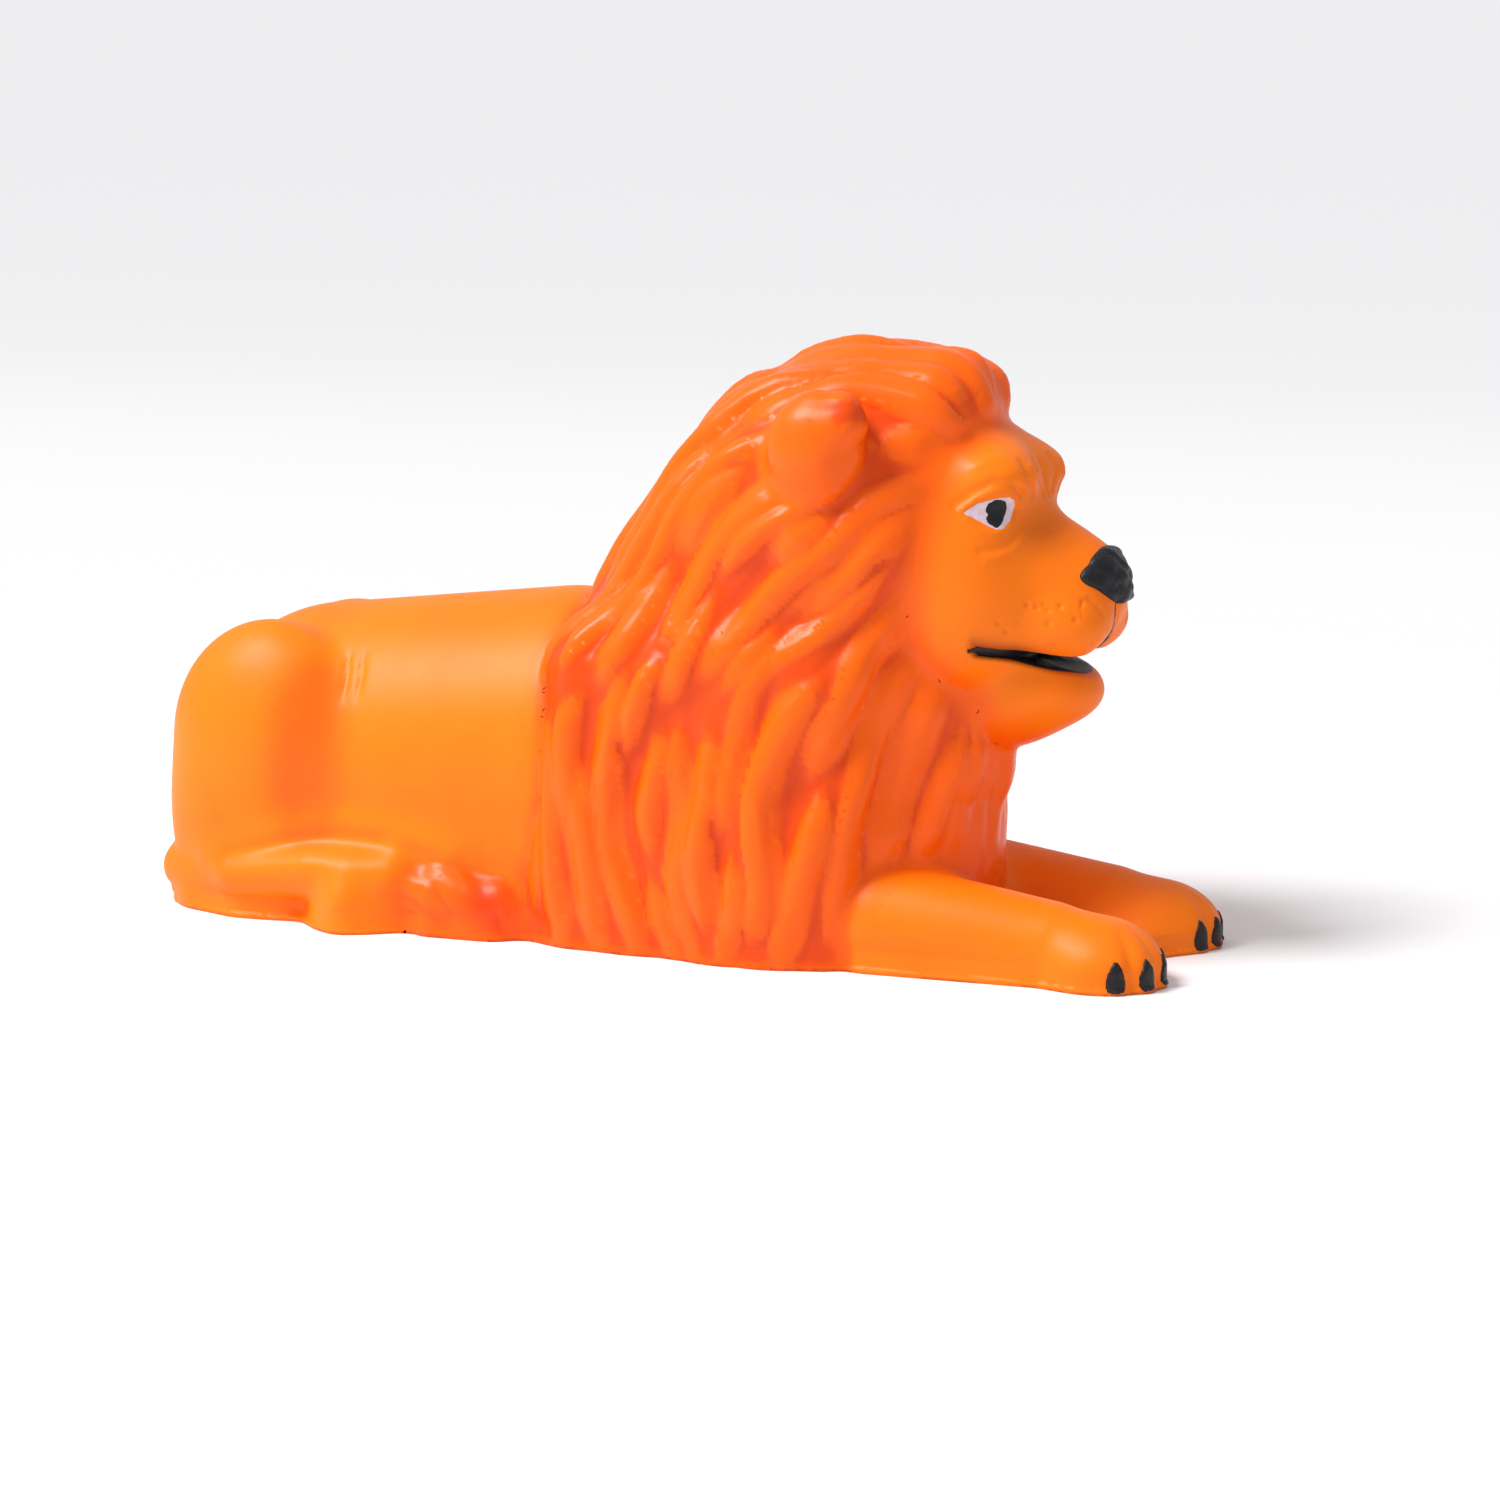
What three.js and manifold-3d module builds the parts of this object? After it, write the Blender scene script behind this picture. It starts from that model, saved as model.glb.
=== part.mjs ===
// Lion ornament lying with its head up, 131 mm long. Millimetres, +X towards the nose, +Y to its left, +Z up.
// The origin is on the flat underside, on the centre plane.
// Each rounded form is a smooth field, negative inside; the fields blend into one skin that is then meshed.
import * as THREE from 'three';
import { mergeVertices } from 'three/addons/utils/BufferGeometryUtils.js';
import Module from 'manifold-3d';

const wasm = await Module();
wasm.setup();

// Trunk: a barrel that rises from the rump to the shoulders, on a squarer belly
const rumpX = -46.5;
const rumpCentreZ = 17.6;
const rumpRadius = 19.8;
const shoulderX = -15;
const shoulderCentreZ = 20.2;
const shoulderRadius = 20.8;
const trunkWidthShare = 0.9;
const bellyRearX = -57.8;
const bellyFrontX = 6.2;
const bellyHalfWidth = 16;
const bellyTopZ = 15;
const bellyCornerRadius = 6;

// Hind legs, one each side: upright haunch, then a foot along the floor with a ball at its side
const haunchX = -51.2;
const haunchSideY = 11.4;
const haunchCentreZ = 21.4;
const haunchRadii = [13.5, 8.8, 14.9];
const thighX = -55.2;
const thighZ = 11;
const thighRadii = [9.8, 6.8, 10];
const heelX = -59;
const heelSideY = 12;
const heelZ = 2.4;
const hockX = -51;
const hockSideY = 14.4;
const hockZ = 4.8;
const ankleX = -42;
const ankleSideY = 15.2;
const ankleZ = 7;
const instepX = -33;
const instepSideY = 15.4;
const instepZ = 6.6;
const hindToeX = -18.8;
const hindToeSideY = 12.4;
const hindToeZ = 2.8;
const hindFootRadius = 4.4;
const hindToeRadius = 4;
const toeBallX = -36.6;
const toeBallSideY = 17.6;
const toeBallZ = 2.6;
const toeBallRadii = [6, 4.6, 4.4];

// Tail: from the rump round the right hind foot, ending in a tuft
const tailRootX = -62.6;
const tailRootZ = 7;
const tailRootRadius = 5;
const tailBendX = -63;
const tailBendRadius = 3.1;
const tailLowZ = 4.8;
const tailRadius = 2.4;
const tailSideX = -52.8;
const tailSideY = 17.2;
const tailRidgeX = -42;
const tailRidgeSideY = 18.7;
const tailRidgeZ = 6.4;
const tuftStartX = -31.5;
const tuftStartSideY = 18;
const tuftStartZ = 5.8;
const tuftMiddleX = -25.5;
const tuftEndX = -18.8;
const tuftSideY = 16.2;
const tuftRadius = 4.6;
const tuftTipZ = 3.4;
const tuftTipRadius = 4;

// Forelegs, one each side, straight ahead on the floor, with a low web between them
const forelegSideY = 12.1;
const elbowX = 30;
const elbowRadius = 6.8;
const elbowTopZ = 11.9;
const wristX = 50;
const wristRadius = 5.6;
const wristTopZ = 9;
const pawX = 56.4;
const pawCentreZ = 1.9;
const pawRadii = [7.4, 7, 5.4];
const webEndX = 59;
const webTopZ = 3.4;

// Neck and chest core inside the mane, and the head's centre
const neckRearX = -10;
const neckRearRadius = 14.8;
const neckRadius = 11;
const neckX = 13;
const neckZ = 33;
const chestCoreRearX = -5;
const chestCoreRearRadius = 13;
const chestCoreRadius = 9;
const headX = 30.4;
const headZ = 51;

// Head forms: each centre is measured from the head's centre and given for the right side
const skullRadii = [13, 13, 15];
const foreheadFrom = [5.1, 0, 4];
const foreheadRadii = [8.4, 9, 7.4];
const browFrom = [10.1, -5.4, 6];
const browRadii = [4.5, 5.1, 3.4];
const bridgeRootFrom = [10.4, 0, -1];
const noseEndFrom = [19, 0, -6.4];
const bridgeRadius = 5.2;
const noseEndRadius = 4.9;
const cheekFrom = [6, -7.2, -7.5];
const cheekRadii = [8.6, 7, 11.2];
const snoutFrom = [13, 0, -9];
const snoutRadii = [9.6, 8.6, 7.4];
const muzzleFrom = [16.4, -3.9, -10.6];
const muzzleRadii = [7, 5, 4.8];
const chinFrom = [15.9, 0, -19.1];
const chinRadii = [5.8, 6.4, 4];
const jawFrom = [10, 0, -19.2];
const jawRadii = [8, 8, 6.8];
const eyeFrom = [7, -6.3, 2.6];
const eyeballRadius = 4.3;

// Mouth: a slot cut round the muzzle, falling a little towards the front
const mouthCentreReach = 11;
const mouthDrop = 14.1;
const mouthFallPerLength = 0.13;
const mouthHalfAngle = 99;
const mouthSlotHalfHeight = 0.9;
const mouthSlotDepth = 1.6;

// Mane: a thick coat of hair round the head, neck and chest
const maneRearX = -13.2;
const maneFrontX = 29;
const maneHalfWidth = 20.7;
const maneTopZ = 39;
const maneCornerRadius = 6.5;
const maneBulgeX = 14;
const maneBulgeSideY = 8;
const maneBulgeZ = 10;
const maneBulgeRadii = [17, 14.2, 30];
const maneFlareX = -13.6;
const maneFlareSideY = 12.6;
const maneFlareRadius = 5.8;
const maneFlareRootX = -8;
const maneFlareRootZ = 15;
const crownX = 20.3;
const crownZ = 49.5;
const crownRadius = 21.6;
const withersX = 8.6;
const withersZ = 38;
const withersRadius = 20.1;
const upperManeWidthShare = 0.91;
const forelockX = 32.2;
const forelockZ = 64;
const forelockRadius = 8;
const forelockWidthShare = 1.5;
const chestX = 27.8;
const chestTopX = 30;
const chestTopZ = 30;
const chestHollowZ = 20;
const chestFootZ = 11;
const chestRadius = 12.2;
const chestWidthShare = 1.15;
const faceOpeningX = 47.5;
const faceOpeningZ = 47;
const faceOpeningRadii = [16, 24, 18];
const earX = 22.6;
const earSideY = 17;
const earZ = 60.4;
const earRadii = [6, 4, 6.6];
const earRimX = 26.4;
const earRimZ = 63.6;
const earRimRadii = [2.8, 3.4, 3.4];
const earHollowFrom = [8.6, -3.2, -2.6];
const earHollowRadii = [4.6, 3, 5.6];

// Main locks of the mane, one each side: x, side y and z near the coat, from the root to the tip.
// The coat lies hairDepth lower between them and each stands lockRise proud of that.
const hairDepth = 0.7;
const lockRadius = 3.2;
const lockRise = 1;
const lockBlend = 2;
const lockPaths = [
  [[30, 0, 71.5], [21, 0, 71], [10, 0, 65], [2, 0, 56], [-6, 0, 47], [-11, 0, 40]],
  [[24, 8, 70], [13, 8.5, 67.5], [4, 11, 57.5], [-2, 13.5, 46], [-7, 18, 37]],
  [[15, 14, 64], [9, 15, 56], [4.5, 15, 51], [0.5, 17, 43], [-1, 20.5, 36]],
  [[21.5, 19.5, 53.5], [15.5, 19, 50], [11, 18.5, 44.5], [9.5, 20, 39], [7, 21.5, 32.5]],
  [[24.5, 19.5, 51.5], [19.5, 19.5, 45], [17, 20, 40.5], [13.5, 21, 36]],
  [[33, 16.3, 49], [28, 18.3, 44], [24, 20, 38.5], [20.5, 21, 33.5]],
  [
    [32.5, 16, 41], [28.5, 18, 36], [24, 20.5, 31], [17, 21.5, 22.5],
    [16, 22, 14.5], [16, 22.5, 7.5], [19, 21.5, 2],
  ],
  [[16.5, 21.5, 34.5], [12.5, 21.5, 27.5], [13, 22, 19.5], [9, 22, 13], [8, 21.5, 9], [12, 22, 3]],
  [[5, 21, 36], [1.5, 21, 28.5], [-3.5, 20.5, 20.5], [-5, 20.5, 14], [-3, 20.5, 8], [1, 20.5, 2.5]],
  [[6, 21, 25], [2.5, 20.5, 17], [4.5, 21, 10]],
  [[-7, 20.5, 34], [-8.5, 20.5, 20], [-9.5, 20, 10], [-12, 19, 3]],
  [[32, 14.5, 29.5], [28.5, 17, 23.5], [24.5, 20.5, 15.5], [22.5, 21.5, 8.5]],
  [[38.5, 8, 25], [37, 9, 21], [33.5, 13, 14]],
  [[41.5, 0, 27], [40.5, 0, 19]],
];

// Painted features: thin shells standing seatGap off the skin; the hair is cut clear of the body inside it
const seatGap = 0.3;
const hairClearance = 0.7;
const paintThickness = 0.5;
const noseThickness = 0.9;
const eyeHalfLength = 3.1;
const eyeHalfHeight = 1.8;
const pupilHalfLength = 1.25;
const pupilHalfHeight = 1.5;
const noseHalfWidth = 5;
const noseHalfHeight = 3.3;
const noseRise = 0.6;
const philtrumHalfWidth = 0.4;
const philtrumTopDrop = 9.6;
const philtrumEndDrop = 13.2;
const clawHalfWidth = 1.35;
const clawHalfHeight = 1.75;
const clawAimZ = 0.5;
const clawRise = 0.25;
const clawAngles = [-60, -27, 5, 32];

// Below this height every side wall drops straight to the floor
const wallTopZ = 2.6;

// How far two forms run into each other, from a crisp crease to a soft slope
const crispBlend = 1.5;
const foldBlend = 3;
const softBlend = 5;
const wideBlend = 9;

// Mesh spacing
const bodyCell = 3.2;
const bodyAcrossCell = 2.4;
const headCell = 2.1;
const maneCell = 2.1;
const tuftCell = 1.5;

// Field tools
const length3 = (x, y, z) => Math.sqrt(x * x + y * y + z * z);

function join(a, b, blend) {
  const h = Math.max(blend - Math.abs(a - b), 0) / blend;
  return Math.min(a, b) - h * h * blend / 4;
}

const carve = (a, b, blend) => -join(-a, b, blend);

function ball([x, y, z], radii) {
  const [rx, ry, rz] = radii;
  return (px, py, pz) => {
    const dx = px - x, dy = py - y, dz = pz - z;
    const outer = length3(dx / rx, dy / ry, dz / rz);
    const slope = length3(dx / (rx * rx), dy / (ry * ry), dz / (rz * rz));
    return slope === 0 ? -Math.min(rx, ry, rz) : outer * (outer - 1) / slope;
  };
}

const round = (radius) => [radius, radius, radius];

// A limb runs through balls given as x, y, z, radius; widthShare narrows or widens it across the centre plane
function limb(points, widthShare = 1) {
  return (px, py, pz) => {
    const y = py / widthShare;
    let least = Infinity;
    for (let i = 0; i + 1 < points.length; i++) {
      const [ax, ay, az, ar] = points[i];
      const [bx, by, bz, br] = points[i + 1];
      const dx = bx - ax, dy = by - ay, dz = bz - az;
      const along = ((px - ax) * dx + (y - ay) * dy + (pz - az) * dz) / (dx * dx + dy * dy + dz * dz);
      const t = Math.min(1, Math.max(0, along));
      const away = length3(px - ax - t * dx, y - ay - t * dy, pz - az - t * dz);
      least = Math.min(least, away - ar - t * (br - ar));
    }
    return least * Math.min(1, widthShare);
  };
}

// A block with rounded edges that runs on below the floor
function block(rearX, frontX, halfWidth, topZ, radius) {
  const sunkZ = -2 * radius;
  return (px, py, pz) => {
    const dx = Math.abs(px - (rearX + frontX) / 2) - (frontX - rearX) / 2 + radius;
    const dy = Math.abs(py) - halfWidth + radius;
    const dz = Math.abs(pz - (topZ + sunkZ) / 2) - (topZ - sunkZ) / 2 + radius;
    const outside = length3(Math.max(dx, 0), Math.max(dy, 0), Math.max(dz, 0));
    return outside + Math.min(Math.max(dx, dy, dz), 0) - radius;
  };
}

// The same field on both sides of the centre plane
const pair = (field) => (x, y, z) => field(x, -Math.abs(y), z);

// The first form, then each further one with its own blend into the sum so far
function blended(parts) {
  return (x, y, z) => {
    let sum = parts[0][0](x, y, z);
    for (let i = 1; i < parts.length; i++) sum = join(sum, parts[i][0](x, y, z), parts[i][1]);
    return sum;
  };
}

const slopeStep = 0.05;
function gradient(field, x, y, z) {
  const gx = field(x + slopeStep, y, z) - field(x - slopeStep, y, z);
  const gy = field(x, y + slopeStep, z) - field(x, y - slopeStep, z);
  const gz = field(x, y, z + slopeStep) - field(x, y, z - slopeStep);
  return new THREE.Vector3(gx, gy, gz).divideScalar(2 * slopeStep);
}

// A ridge of hair: a limb laid along the stops, under the coat so that its top stands proud of it
const lockPieces = 10;
const settlePasses = 8;
function settle(field, place, level) {
  for (let pass = 0; pass < settlePasses; pass++) {
    const slope = gradient(field, place.x, place.y, place.z);
    const left = level - field(place.x, place.y, place.z);
    place.addScaledVector(slope, left / slope.lengthSq());
  }
  return place;
}

function lock(coat, stops) {
  const rough = stops.map(([x, side, z]) => new THREE.Vector3(x, -side, z));
  const places = new THREE.CatmullRomCurve3(rough, false, 'catmullrom').getPoints(lockPieces);
  return limb(places.map((place, n) => {
    const rise = lockRise * Math.sqrt(Math.sin(Math.PI * n / lockPieces));
    return [...settle(coat, place, rise - lockRadius).toArray(), lockRadius];
  }));
}

// Body: trunk, legs, tail, neck and head in one skin
const trunk = blended([
  [limb([
    [rumpX, 0, rumpCentreZ, rumpRadius],
    [shoulderX, 0, shoulderCentreZ, shoulderRadius],
  ], trunkWidthShare)],
  [block(bellyRearX, bellyFrontX, bellyHalfWidth, bellyTopZ, bellyCornerRadius), softBlend],
]);
const hindLeg = pair(blended([
  [ball([haunchX, -haunchSideY, haunchCentreZ], haunchRadii)],
  [ball([thighX, -haunchSideY, thighZ], thighRadii), softBlend],
  [limb([
    [heelX, -heelSideY, heelZ, hindFootRadius],
    [hockX, -hockSideY, hockZ, hindFootRadius],
    [ankleX, -ankleSideY, ankleZ, hindFootRadius],
    [instepX, -instepSideY, instepZ, hindFootRadius],
    [hindToeX, -hindToeSideY, hindToeZ, hindToeRadius],
  ]), foldBlend],
  [ball([toeBallX, -toeBallSideY, toeBallZ], toeBallRadii), foldBlend],
]));
const tail = limb([
  [tailRootX, 0, tailRootZ, tailRootRadius],
  [tailBendX, -haunchSideY, tailLowZ, tailBendRadius],
  [tailSideX, -tailSideY, tailLowZ, tailRadius],
  [tailRidgeX, -tailRidgeSideY, tailRidgeZ, tailRadius],
  [toeBallX, -tailRidgeSideY, tailRidgeZ, tailRadius],
  [tuftStartX, -tuftStartSideY, tuftStartZ, tailRadius],
]);
const foreleg = pair(blended([
  [limb([
    [elbowX, -forelegSideY, elbowTopZ - elbowRadius, elbowRadius],
    [wristX, -forelegSideY, wristTopZ - wristRadius, wristRadius],
    [pawX, -forelegSideY, pawCentreZ, pawRadii[2]],
  ])],
  [ball([pawX, -forelegSideY, pawCentreZ], pawRadii), crispBlend],
]));
const web = block(elbowX, webEndX, forelegSideY, webTopZ, webTopZ);
const fromHead = ([x, y, z]) => [headX + x, y, headZ + z];
const face = blended([
  [ball(fromHead([0, 0, 0]), skullRadii)],
  [ball(fromHead(foreheadFrom), foreheadRadii), softBlend],
  [pair(ball(fromHead(browFrom), browRadii)), foldBlend],
  [limb([[...fromHead(bridgeRootFrom), bridgeRadius], [...fromHead(noseEndFrom), noseEndRadius]]), foldBlend],
  [pair(ball(fromHead(cheekFrom), cheekRadii)), softBlend],
  [ball(fromHead(snoutFrom), snoutRadii), softBlend],
  [pair(ball(fromHead(muzzleFrom), muzzleRadii)), crispBlend],
  [ball(fromHead(chinFrom), chinRadii), foldBlend],
  [ball(fromHead(jawFrom), jawRadii), foldBlend],
  [pair(ball(fromHead(eyeFrom), round(eyeballRadius))), crispBlend],
]);
const core = limb([
  [neckRearX, 0, shoulderCentreZ, neckRearRadius],
  [neckX, 0, neckZ, neckRadius],
  [headX - neckRadius / 2, 0, headZ - neckRadius / 2, neckRadius],
]);
const chestCore = limb([
  [chestCoreRearX, 0, chestCoreRearRadius, chestCoreRearRadius],
  [elbowX, 0, chestCoreRadius, chestCoreRadius],
]);
const body = (x, y, height) => {
  const z = Math.max(height, wallTopZ);
  let skin = join(trunk(x, y, z), hindLeg(x, y, z), crispBlend);
  skin = join(skin, tail(x, y, z), crispBlend);
  skin = join(skin, core(x, y, z), softBlend);
  skin = join(skin, chestCore(x, y, z), softBlend);
  skin = join(skin, join(foreleg(x, y, z), web(x, y, z), softBlend), softBlend);
  return join(skin, face(x, y, z), foldBlend);
};

// Tuft at the tail's end
const tuft = limb([
  [tuftStartX, -tuftStartSideY, tuftStartZ, tailRadius],
  [tuftMiddleX, -tuftSideY, tuftRadius, tuftRadius],
  [tuftEndX, -tuftSideY, tuftTipZ, tuftTipRadius],
]);
const tuftOnWall = (x, y, z) => tuft(x, y, Math.max(z, wallTopZ));
const tailTuft = (x, y, z) => carve(tuftOnWall(x, y, z), body(x, y, z) - 2 * seatGap, crispBlend);

// Mane: the hair less the body inside it, the tuft beside it and the face opening
const fullCoat = blended([
  [block(maneRearX, maneFrontX, maneHalfWidth, maneTopZ, maneCornerRadius)],
  [pair(limb([
    [maneFlareRootX, -maneFlareSideY, maneFlareRootZ, maneFlareRadius],
    [maneFlareX, -maneFlareSideY, wallTopZ, maneFlareRadius],
  ])), foldBlend],
  [pair(ball([maneBulgeX, -maneBulgeSideY, maneBulgeZ], maneBulgeRadii)), foldBlend],
  [limb([
    [crownX, 0, crownZ, crownRadius],
    [withersX, 0, withersZ, withersRadius],
  ], upperManeWidthShare), wideBlend],
  [limb([
    [forelockX, 0, forelockZ, forelockRadius],
    [crownX + forelockRadius / 2, 0, forelockZ, forelockRadius],
  ], forelockWidthShare), foldBlend],
  [limb([
    [chestTopX, 0, chestTopZ, chestRadius],
    [chestX, 0, chestHollowZ, chestRadius - 2 * seatGap],
    [chestX, 0, chestFootZ, chestRadius],
  ], chestWidthShare), softBlend],
]);
const coat = (x, y, z) => fullCoat(x, y, z) + hairDepth;
const locks = lockPaths.map((stops) => lock(coat, stops));
const nearestLock = (x, y, z) => Math.min(...locks.map((field) => field(x, y, z)));
const hair = blended([
  [coat],
  [pair(nearestLock), lockBlend],
  [pair(ball([earX, -earSideY, earZ], earRadii)), crispBlend],
  [pair(ball([earRimX, -earSideY, earRimZ], earRimRadii)), crispBlend],
]);
const [hollowX, hollowY, hollowZ] = earHollowFrom;
const earHollow = pair(ball([earX + hollowX, -earSideY + hollowY, earZ + hollowZ], earHollowRadii));
const faceOpening = ball([faceOpeningX, 0, faceOpeningZ], faceOpeningRadii);
const mane = (x, y, z) => {
  const whole = carve(hair(x, y, Math.max(z, wallTopZ)), earHollow(x, y, z), foldBlend);
  const open = carve(whole, faceOpening(x, y, z), foldBlend);
  return carve(open, Math.min(body(x, y, z), tuftOnWall(x, y, z)) - hairClearance, crispBlend);
};

// Meshing: one vertex in each cell that the skin crosses, moved onto the skin
function spaced(low, high, cellAt) {
  const marks = [low];
  for (let mark = low; mark < high; marks.push(mark)) mark += cellAt(mark);
  return marks;
}

// A cell's twelve edges as pairs of corners; a corner's bits say high or low along X, Y and Z
const cellEdges = [];
for (let corner = 0; corner < 8; corner++)
  for (const step of [1, 2, 4]) if (!(corner & step)) cellEdges.push([corner, corner | step]);
const edgeNumber = (a, b) => cellEdges.findIndex(([c, d]) => c === Math.min(a, b) && d === Math.max(a, b));
const cellFaces = [];
for (const [axis, u, v] of [[1, 2, 4], [2, 4, 1], [4, 1, 2]])
  for (const base of [0, axis]) cellFaces.push([base, base | u, base | u | v, base | v]);

// Groups a cell's crossed edges into the separate sheets of skin that pass through it
function sheetsIn(signs) {
  const sheetOf = cellEdges.map(([a, b], n) => (signs[a] === signs[b] ? -1 : n));
  const link = (m, n) => {
    const from = sheetOf[m], to = sheetOf[n];
    for (let e = 0; e < 12; e++) if (sheetOf[e] === from) sheetOf[e] = to;
  };
  for (const face of cellFaces) {
    const round = face.map((corner, n) => edgeNumber(corner, face[(n + 1) % 4]));
    const crossed = round.filter((e) => sheetOf[e] >= 0);
    if (crossed.length === 2) link(crossed[0], crossed[1]);
  }
  return sheetOf;
}
const sheetTable = [];
for (let code = 0; code < 256; code++) {
  const signs = [...Array(8).keys()].map((n) => (code >> n) & 1);
  sheetTable.push(sheetsIn(signs));
}

// A grid face whose corners lie in and out by turns would pinch the skin, so the outside corner nearer
// to the skin joins the inside
const pinchDepth = 1e-3;
function fillPinches(values, strides) {
  const pinched = (a, b, c, d) => {
    const [inA, inB, inC, inD] = [a, b, c, d].map((n) => values[n] < 0);
    return inA === inC && inB === inD && inA !== inB;
  };
  for (let filled = true; filled;) {
    filled = false;
    for (const [u, v] of [[0, 1], [1, 2], [2, 0]]) {
      const across = strides[u], up = strides[v];
      for (let a = 0; a + across + up < values.length; a++) {
        if (!pinched(a, a + across, a + across + up, a + up)) continue;
        const [m, n] = values[a] < 0 ? [a + across, a + up] : [a, a + across + up];
        values[values[m] < values[n] ? m : n] = -pinchDepth;
        filled = true;
      }
    }
  }
}

function skinGeometry(field, xs, ys, zs) {
  const nx = xs.length, ny = ys.length, nz = zs.length;
  const index = (i, j, k) => (i * ny + j) * nz + k;
  const values = new Float64Array(nx * ny * nz);
  for (let i = 0; i < nx; i++)
    for (let j = 0; j < ny; j++)
      for (let k = 0; k < nz; k++) values[index(i, j, k)] = field(xs[i], ys[j], zs[k]);
  fillPinches(values, [index(1, 0, 0), index(0, 1, 0), index(0, 0, 1)]);
  const cornerOf = (i, j, k, corner) => [i + (corner & 1), j + ((corner >> 1) & 1), k + (corner >> 2)];
  const cellVertices = new Map();
  const positions = [];
  for (let i = 0; i + 1 < nx; i++)
    for (let j = 0; j + 1 < ny; j++)
      for (let k = 0; k + 1 < nz; k++) {
        let code = 0;
        for (let n = 0; n < 8; n++) if (values[index(...cornerOf(i, j, k, n))] < 0) code |= 1 << n;
        if (code === 0 || code === 255) continue;
        const sheetOf = sheetTable[code];
        const vertices = {};
        for (const sheet of new Set(sheetOf)) {
          if (sheet < 0) continue;
          const p = new THREE.Vector3();
          let crossings = 0;
          cellEdges.forEach(([a, b], edge) => {
            if (sheetOf[edge] !== sheet) return;
            const [ai, aj, ak] = cornerOf(i, j, k, a), [bi, bj, bk] = cornerOf(i, j, k, b);
            const va = values[index(ai, aj, ak)], vb = values[index(bi, bj, bk)];
            const start = new THREE.Vector3(xs[ai], ys[aj], zs[ak]);
            const end = new THREE.Vector3(xs[bi], ys[bj], zs[bk]);
            p.add(start.lerp(end, va / (va - vb)));
            crossings++;
          });
          p.divideScalar(crossings);
          for (let pass = 0; pass < 2; pass++) {
            const slope = gradient(field, p.x, p.y, p.z);
            const move = field(p.x, p.y, p.z) / Math.max(slope.lengthSq(), 0.3);
            p.addScaledVector(slope, -THREE.MathUtils.clamp(move, -0.4, 0.4));
          }
          vertices[sheet] = positions.length / 3;
          positions.push(p.x, p.y, p.z);
        }
        cellVertices.set(index(i, j, k), sheetOf.map((sheet) => vertices[sheet]));
      }
  const faces = [];
  const steps = [1, 2, 4];
  for (let i = 1; i + 1 < nx; i++)
    for (let j = 1; j + 1 < ny; j++)
      for (let k = 1; k + 1 < nz; k++)
        steps.forEach((along, axis) => {
          const inside = values[index(i, j, k)] < 0;
          if (inside === values[index(...cornerOf(i, j, k, along))] < 0) return;
          const u = steps[(axis + 1) % 3], v = steps[(axis + 2) % 3];
          const around = [0, u, u | v, v].map((back) => {
            const cell = index(i - (back & 1), j - ((back >> 1) & 1), k - (back >> 2));
            return cellVertices.get(cell)[edgeNumber(back, back | along)];
          });
          const [a, b, c, d] = inside ? around : around.reverse();
          faces.push(a, b, c, a, c, d);
        });
  const geometry = new THREE.BufferGeometry();
  geometry.setAttribute('position', new THREE.Float32BufferAttribute(positions, 3));
  geometry.setIndex(faces);
  return geometry;
}

function toSolid(geometry) {
  const bare = geometry.clone();
  bare.deleteAttribute('normal');
  bare.deleteAttribute('uv');
  const merged = mergeVertices(bare, 1e-5);
  return new wasm.Manifold(new wasm.Mesh({
    numProp: 3,
    vertProperties: new Float32Array(merged.attributes.position.array),
    triVerts: new Uint32Array(merged.index.array),
  }));
}

function toGeometry(solid) {
  const mesh = solid.getMesh();
  const geometry = new THREE.BufferGeometry();
  geometry.setAttribute('position', new THREE.Float32BufferAttribute(mesh.vertProperties, 3));
  geometry.setIndex([...mesh.triVerts]);
  return geometry;
}

// Everything below the floor plane is cut away, which leaves the flat underside
const aboveFloor = new THREE.BoxGeometry(400, 400, 200).translate(0, 0, 100);
const belowFloor = 3;
const closedBelow = (field) => (x, y, z) => Math.max(field(x, y, z), -belowFloor - z);
function standing(geometry) {
  const pieces = toSolid(geometry).intersect(toSolid(aboveFloor)).decompose();
  return toGeometry(pieces.reduce((largest, piece) => (piece.volume() > largest.volume() ? piece : largest)));
}

// The grids reach past the outermost forms, whatever their sizes
const gridMargin = 2 * bodyCell;
const past = (...ends) => Math.max(...ends) + gridMargin;
const rearReach = past(
  tailRootRadius - tailRootX, tailBendRadius - tailBendX, hindFootRadius - heelX,
  haunchRadii[0] - haunchX, thighRadii[0] - thighX, rumpRadius - rumpX, -bellyRearX,
);
const frontReach = past(
  pawX + pawRadii[0], webEndX, headX + noseEndFrom[0] + noseEndRadius,
  headX + muzzleFrom[0] + muzzleRadii[0], headX + chinFrom[0] + chinRadii[0],
);
const sideReach = past(
  rumpRadius, shoulderRadius, crownRadius, withersRadius, bellyHalfWidth, maneHalfWidth,
  haunchSideY + haunchRadii[1], toeBallSideY + toeBallRadii[1], tailRidgeSideY + tailRadius,
  forelegSideY + pawRadii[1], maneBulgeSideY + maneBulgeRadii[1], maneFlareSideY + maneFlareRadius,
  forelockRadius * forelockWidthShare, earSideY + earRadii[1], earSideY + earRimRadii[1],
);
const topReach = past(
  crownZ + crownRadius, withersZ + withersRadius, forelockZ + forelockRadius,
  headZ + skullRadii[2], headZ + foreheadFrom[2] + foreheadRadii[2], earZ + earRadii[2],
);
const maneRearReach = past(maneFlareRadius - maneFlareX, withersRadius - withersX, -maneRearX);
const maneFrontReach = past(
  crownX + crownRadius, forelockX + forelockRadius, chestTopX + chestRadius, maneFrontX,
);
const gridDepth = belowFloor + 2 * bodyCell;
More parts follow.
